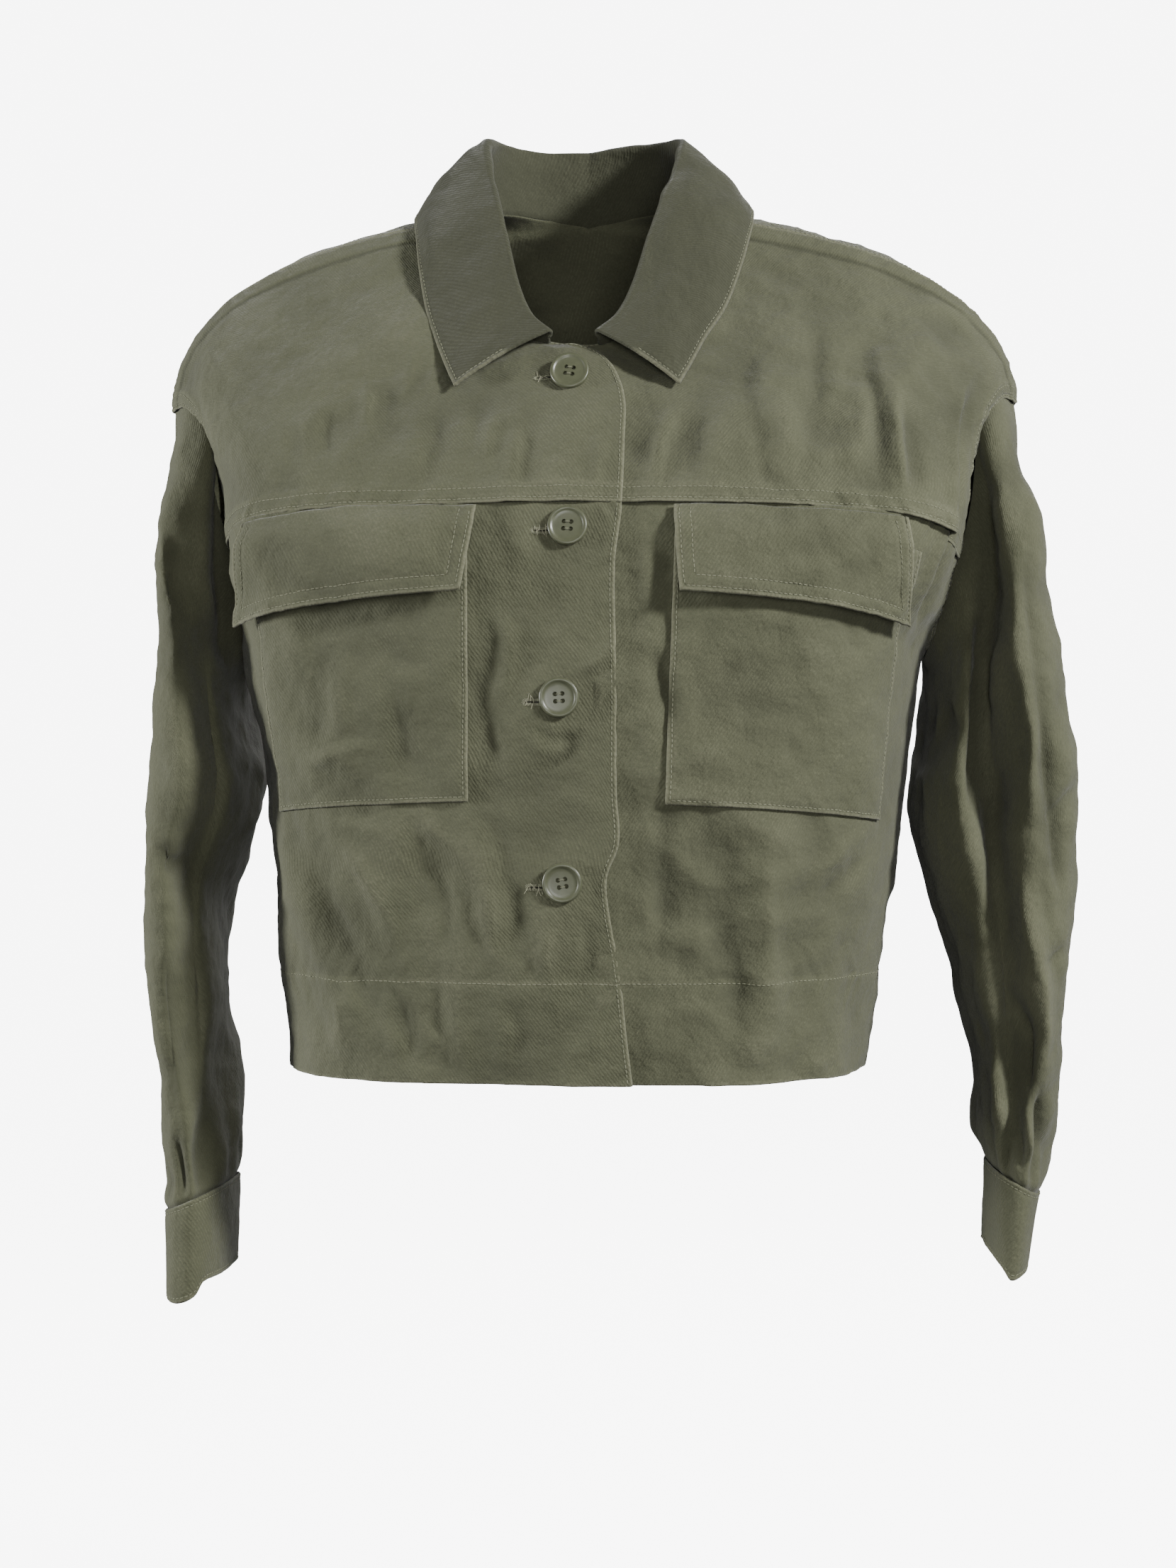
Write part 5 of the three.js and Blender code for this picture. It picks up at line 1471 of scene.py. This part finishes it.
# %% Set the buttons on the cloth
def set_square(centre, outward, sideways, scale=1.0):
    """The turn and place of a button, its Z along outward and its X near sideways."""
    z = Vector(outward).normalized()
    x = Vector(sideways)
    x = (x - z * x.dot(z)).normalized()
    turn = Matrix((x, z.cross(x), z)).transposed().to_4x4()
    return Matrix.Translation(Vector(centre) / 1000) @ turn @ Matrix.Scale(scale / 1000, 4)


def front_button_place(z, aside):
    """Centre and facing of a front button, on the cloth of the wearer's right front."""
    level = np.array([level_at(z)])
    across = across_at("right", level, aside)
    outward = body_normal("right", 1, across, level)
    centre = body_point("right", 1, across, level) + outward * BUTTON_CLEARANCE
    return centre[0] * [-1, 1, 1], outward[0] * [-1, 1, 1]


def cuff_button_place(side):
    """On the upper end of the cuff's lap."""
    grid = cuff_grid(side, np.array([2 * CUFF_BUTTON_AT - 1, CUFF_BUTTON_AT, 1.0]))
    middle = grid[len(grid) // 2]
    outward = unit(np.cross(middle[2] - middle[0], grid[-1, 1] - grid[0, 1]))
    signs = np.array([-1, 1, 1]) if side == "right" else np.ones(3)
    return (middle[1] + outward * BUTTON_CLEARANCE) * signs, outward * signs


def on_cloth(name, spots, facing, reach, share=50):
    """How far the finished cloth stands above each spot, along the way that it faces."""
    cloth = pieces[name]["grid"].reshape(-1, 3)
    heights = []
    for spot, outward in zip(spots, facing):
        near = cloth[np.linalg.norm(cloth - spot, axis=1) < reach]
        heights.append(np.percentile((near - spot) @ outward, share))
    return np.array(heights)[:, None]


placed = {}
for i, (z, aside) in enumerate(zip(BUTTONS["z"], BUTTONS["aside"])):
    centre, outward = front_button_place(z, aside)
    if i == 0:
        outward = unit(outward + TOP_BUTTON_LEAN)
    lift = on_cloth(UNDER_BUTTON[i], [centre], [outward], 10, 80)[0, 0]
    placed[f"button_{i + 1}"] = (centre + outward * lift, outward, (1, 0, 0.12 * (i - 1.5)), 1.0)
for side in ("right", "left"):
    placed[f"cuff_button_{side}"] = (*cuff_button_place(side), (0.2, 1, 0.1), CUFF_BUTTON_SCALE)
buttons = {}
for name, (centre, outward, sideways, scale) in placed.items():
    mesh = button_mesh.copy()
    mesh.transform(set_square(centre, outward, sideways, scale))
    mesh.polygons.foreach_set("use_smooth", np.ones(len(mesh.polygons), bool))
    mesh.set_sharp_from_angle(angle=math.radians(40))
    mesh.materials.append(button_finish)
    buttons[name] = bpy.data.objects.new(name + "_turned", mesh)
    bpy.context.scene.collection.objects.link(buttons[name])
print("buttons:", {name: np.round(place[0]).tolist() for name, place in placed.items()})

# %% [markdown]
# ## Thread on the buttons and round the buttonholes
# Two bars of thread cross each button's dish. Beside every front button the end of its
# buttonhole shows: a slit between rows of close short stitches, with a few frayed, pale threads.

# %% Bars of thread and buttonholes
bar_rows, hole_rows, frayed_rows = [], [], []
BUTTONHOLE = (8.0, 19.5)  # its showing part, from the button's middle
HOLE_ROW_ASIDE = 1.25  # from the slit to the stitches beside it
FRAY_STEP = 0.55
dice = np.random.default_rng(SEED)


def one_row(line, along, facing):
    count = len(line)
    return np.array(line), np.tile(along, (count, 1)), np.tile(facing, (count, 1))


for name, (centre, outward, sideways, scale) in placed.items():
    frame_of = np.array(set_square((0, 0, 0), outward, sideways, scale).to_3x3()) * 1000
    spread = HOLE_SPREAD / math.sqrt(2)
    for y in (-spread, spread):
        for shift in (-0.22, 0.22):
            spot = centre + frame_of @ np.array([0, y + shift, low_top + 0.05])
            bar_rows.append(one_row([spot], unit(frame_of[:, 0]), unit(np.array(outward))))


def frayed(start, facing, heading, length):
    """A short curled end of thread, as a row of small beads."""
    spots, way = [], []
    bend = dice.normal(size=3) * 0.25
    for _ in np.arange(0, length, FRAY_STEP):
        spots.append(start.copy())
        heading = unit(heading + bend * 0.35)
        way.append(heading)
        start = start + heading * FRAY_STEP + facing * 0.02
    return np.array(spots), np.array(way), np.tile(facing, (len(spots), 1))


slits = []
for i, below in enumerate(UNDER_BUTTON):
    centre, outward = placed[f"button_{i + 1}"][:2]
    spots = np.arange(*BUTTONHOLE, 0.62)
    levels = np.full(len(spots), level_at(centre[2] - 2.5))
    across = across_at("right", levels, BUTTONS["aside"][i] + spots)
    line = body_point("right", 1, across, levels) * [-1, 1, 1]
    normal = body_normal("right", 1, across, levels) * [-1, 1, 1]
    line += normal * (on_cloth(below, line, normal, 4) + 0.1)
    along = unit(np.gradient(line, axis=0))
    upward = unit(np.cross(normal, along))
    for shift in (-HOLE_ROW_ASIDE, HOLE_ROW_ASIDE):
        hole_rows.append((line + upward * shift, upward, normal))
    turn = np.linspace(0, np.pi, 7)[1:-1, None]
    round_end = line[-1] + (along[-1] * np.sin(turn) - upward[-1] * np.cos(turn)) * HOLE_ROW_ASIDE
    out = unit(round_end - line[-1])
    hole_rows.append((round_end, out, np.tile(normal[-1], (len(out), 1))))
    slits.append((line, upward, normal))
    for _ in range(9 if i else 5):
        at = dice.integers(len(line) // 3, len(line))
        side_way = upward[at] * dice.choice([-1, 1]) + along[at] * dice.uniform(-0.6, 1.2)
        start = line[at] + upward[at] * dice.uniform(-1.6, 1.6) + normal[at] * 0.5
        frayed_rows.append(frayed(start, normal[at], unit(side_way), dice.uniform(2, 5.5)))
thread_bars = lay_thread("button_thread", bar_rows, thread_finish, 3.6, 0.4, 0.4, 0.05, 0.15)
buttonholes = lay_thread("buttonhole_stitches", hole_rows, thread_finish, 2.1, 0.62, 0.6, 0.15, 0.05)
frayed_ends = lay_thread("frayed_threads", frayed_rows, pale_finish, 0.85, 0.3, 0.3, 0.1, 0.1)


def slit_mesh(name, shapes):
    """The buttonhole slits as thin dark lozenges on the cloth: painted shade in the openings."""
    place, faces = [], []
    for line, upward, normal in shapes:
        base = len(place)
        wide = 0.45 * np.sin(np.linspace(0.35, np.pi, len(line)))[:, None]
        for row in (line - upward * wide, line + upward * wide):
            place.extend((row + normal * 0.12).tolist())
        count = len(line)
        faces += [(base + j, base + count + j, base + count + j + 1, base + j + 1) for j in range(count - 1)]
    mesh = bpy.data.meshes.new(name)
    mesh.from_pydata((np.array(place) / 1000).tolist(), [], faces)
    mesh.materials.append(slit_shade_finish)
    obj = bpy.data.objects.new(name, mesh)
    bpy.context.scene.collection.objects.link(obj)
    wall = obj.modifiers.new("wall", "SOLIDIFY")
    wall.thickness = 0.0002
    return obj


slit_pieces = slit_mesh("buttonhole_slits", slits)
print("buttonholes:", len(slits), "frayed ends:", len(frayed_rows))

# %% [markdown]
# ## The pieces and the frame
# Each sheet stands for its solid of the frame, and the size that it was cut to is printed.
# The cloth doesn't move against itself, so everything rides on the one body.

# %% Finish each piece and print its cut size
RESTS = {
    "front": ["front_yoke_{0}"],
    "front_yoke": ["back"],
    "pocket": ["front_{0}"],
    "flap": ["front_yoke_{0}"],
    "sleeve": ["front_yoke_{0}", "back"],
    "cuff": ["sleeve_{0}"],
    "collar": ["back"],
    "back": [],
}
CUT_OF_KIND = {kind: cuts[kind.replace("_", " ")] for kind in RESTS}
for name, piece in pieces.items():
    obj = piece["obj"]
    kind, _, side = name.rpartition("_") if name not in ("back", "collar") else (name, "", "")
    obj.data.materials.append(collar_painted_shade_finish if name == "collar" else cloth_finish)
    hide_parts(name)
    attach(obj, "root")
    width, length, area = CUT_OF_KIND[kind]
    area = min(area, width * length)
    print(name, "cut", width, "x", length, "m, area", area)
for name, obj in buttons.items():
    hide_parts(name)
    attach(obj, "root")
for obj in (sewing, thread_bars, buttonholes, frayed_ends, slit_pieces):
    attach(obj, "root")

# %% [markdown]
# ## Studio
# A crease shows when one side of it is lit and the other isn't. So a small key light rakes over
# the cloth from the right, a weaker one answers it from the left, and the fill in front is weak.
# The pale sweep glows for the camera alone. The camera stands where the photograph was taken.

# %% Floor, light and camera
FLOOR_Z = -0.98
SWEEP = [(0, 0), (2.4, 0), (2.9, 0.05), (3.35, 0.22), (3.7, 0.6), (3.85, 1.2), (3.9, 4.2)]
SWEEP_SIDES = 96
CAMERA_TURN = math.radians(3.7)
CAMERA_DISTANCE = 1.7
CAMERA_HEIGHT = -0.3466
CAMERA_ASIDE = 0.0032
LENS, SENSOR = 42.89, 24.0


def sweep_mesh():
    """A round floor whose edge curves up into a wall."""
    ring = np.linspace(0, 2 * np.pi, SWEEP_SIDES + 1)[:-1]
    place = [(0, 0, FLOOR_Z)]
    faces = []
    for r, h in SWEEP[1:]:
        place += [(r * math.cos(a), r * math.sin(a), FLOOR_Z + h) for a in ring]
    for j in range(SWEEP_SIDES):
        k = (j + 1) % SWEEP_SIDES
        faces.append((0, 1 + j, 1 + k))
        for i in range(len(SWEEP) - 2):
            a = 1 + i * SWEEP_SIDES
            b = a + SWEEP_SIDES
            faces.append((a + j, b + j, b + k, a + k))
    mesh = bpy.data.meshes.new("sweep")
    mesh.from_pydata(place, [], faces)
    mesh.polygons.foreach_set("use_smooth", np.ones(len(mesh.polygons), bool))
    return mesh


sweep = bpy.data.objects.new("sweep", sweep_mesh())
bpy.context.scene.collection.objects.link(sweep)
pale = bpy.data.materials.new("pale sweep")
pale.use_nodes = True
pale_shader = pale.node_tree.nodes["Principled BSDF"]
set_inputs(pale_shader, Base_Color=(0.86, 0.86, 0.86, 1), Roughness=0.9)
set_inputs(pale_shader, Emission_Color=(1, 1, 1, 1), Emission_Strength=7.0)
sweep.data.materials.append(pale)
sweep.visible_shadow = False
sweep.visible_diffuse = False
sweep.visible_glossy = False


def soft_light(name, place, target, size, power):
    lamp = bpy.data.lights.new(name, "AREA")
    lamp.shape, lamp.size, lamp.energy = "DISK", size, power
    obj = bpy.data.objects.new(name, lamp)
    obj.location = place
    obj.rotation_euler = (Vector(target) - Vector(place)).to_track_quat("-Z", "Y").to_euler()
    obj.visible_camera = False
    bpy.context.scene.collection.objects.link(obj)


middle = (0, 0, -0.3)
soft_light("key", (2.1, -1.3, 0.9), middle, 0.4, 128)
soft_light("fill", (0.3, -2.8, -0.2), middle, 1.0, 34)
soft_light("side", (-2.5, -0.45, -0.1), middle, 0.6, 92)
soft_light("behind", (0.4, 2.4, 0.9), middle, 1.2, 42)
world = bpy.data.worlds.new("studio")
world.use_nodes = True
set_inputs(world.node_tree.nodes["Background"], Color=(1, 1, 1, 1), Strength=0.13)
bpy.context.scene.world = world

lens = bpy.data.cameras.new("camera")
lens.sensor_fit, lens.sensor_height, lens.sensor_width = "VERTICAL", SENSOR, SENSOR
lens.lens = LENS
camera = bpy.data.objects.new("camera", lens)
heading = Vector((-math.sin(CAMERA_TURN), math.cos(CAMERA_TURN), 0))
sideways = Vector((math.cos(CAMERA_TURN), math.sin(CAMERA_TURN), 0))
camera.location = sideways * CAMERA_ASIDE - heading * CAMERA_DISTANCE + Vector((0, 0, CAMERA_HEIGHT))
camera.rotation_euler = heading.to_track_quat("-Z", "Y").to_euler()
lens.clip_start, lens.clip_end = 0.01, 50
bpy.context.scene.collection.objects.link(camera)
bpy.context.scene.camera = camera
print("camera at", [round(c, 3) for c in camera.location])
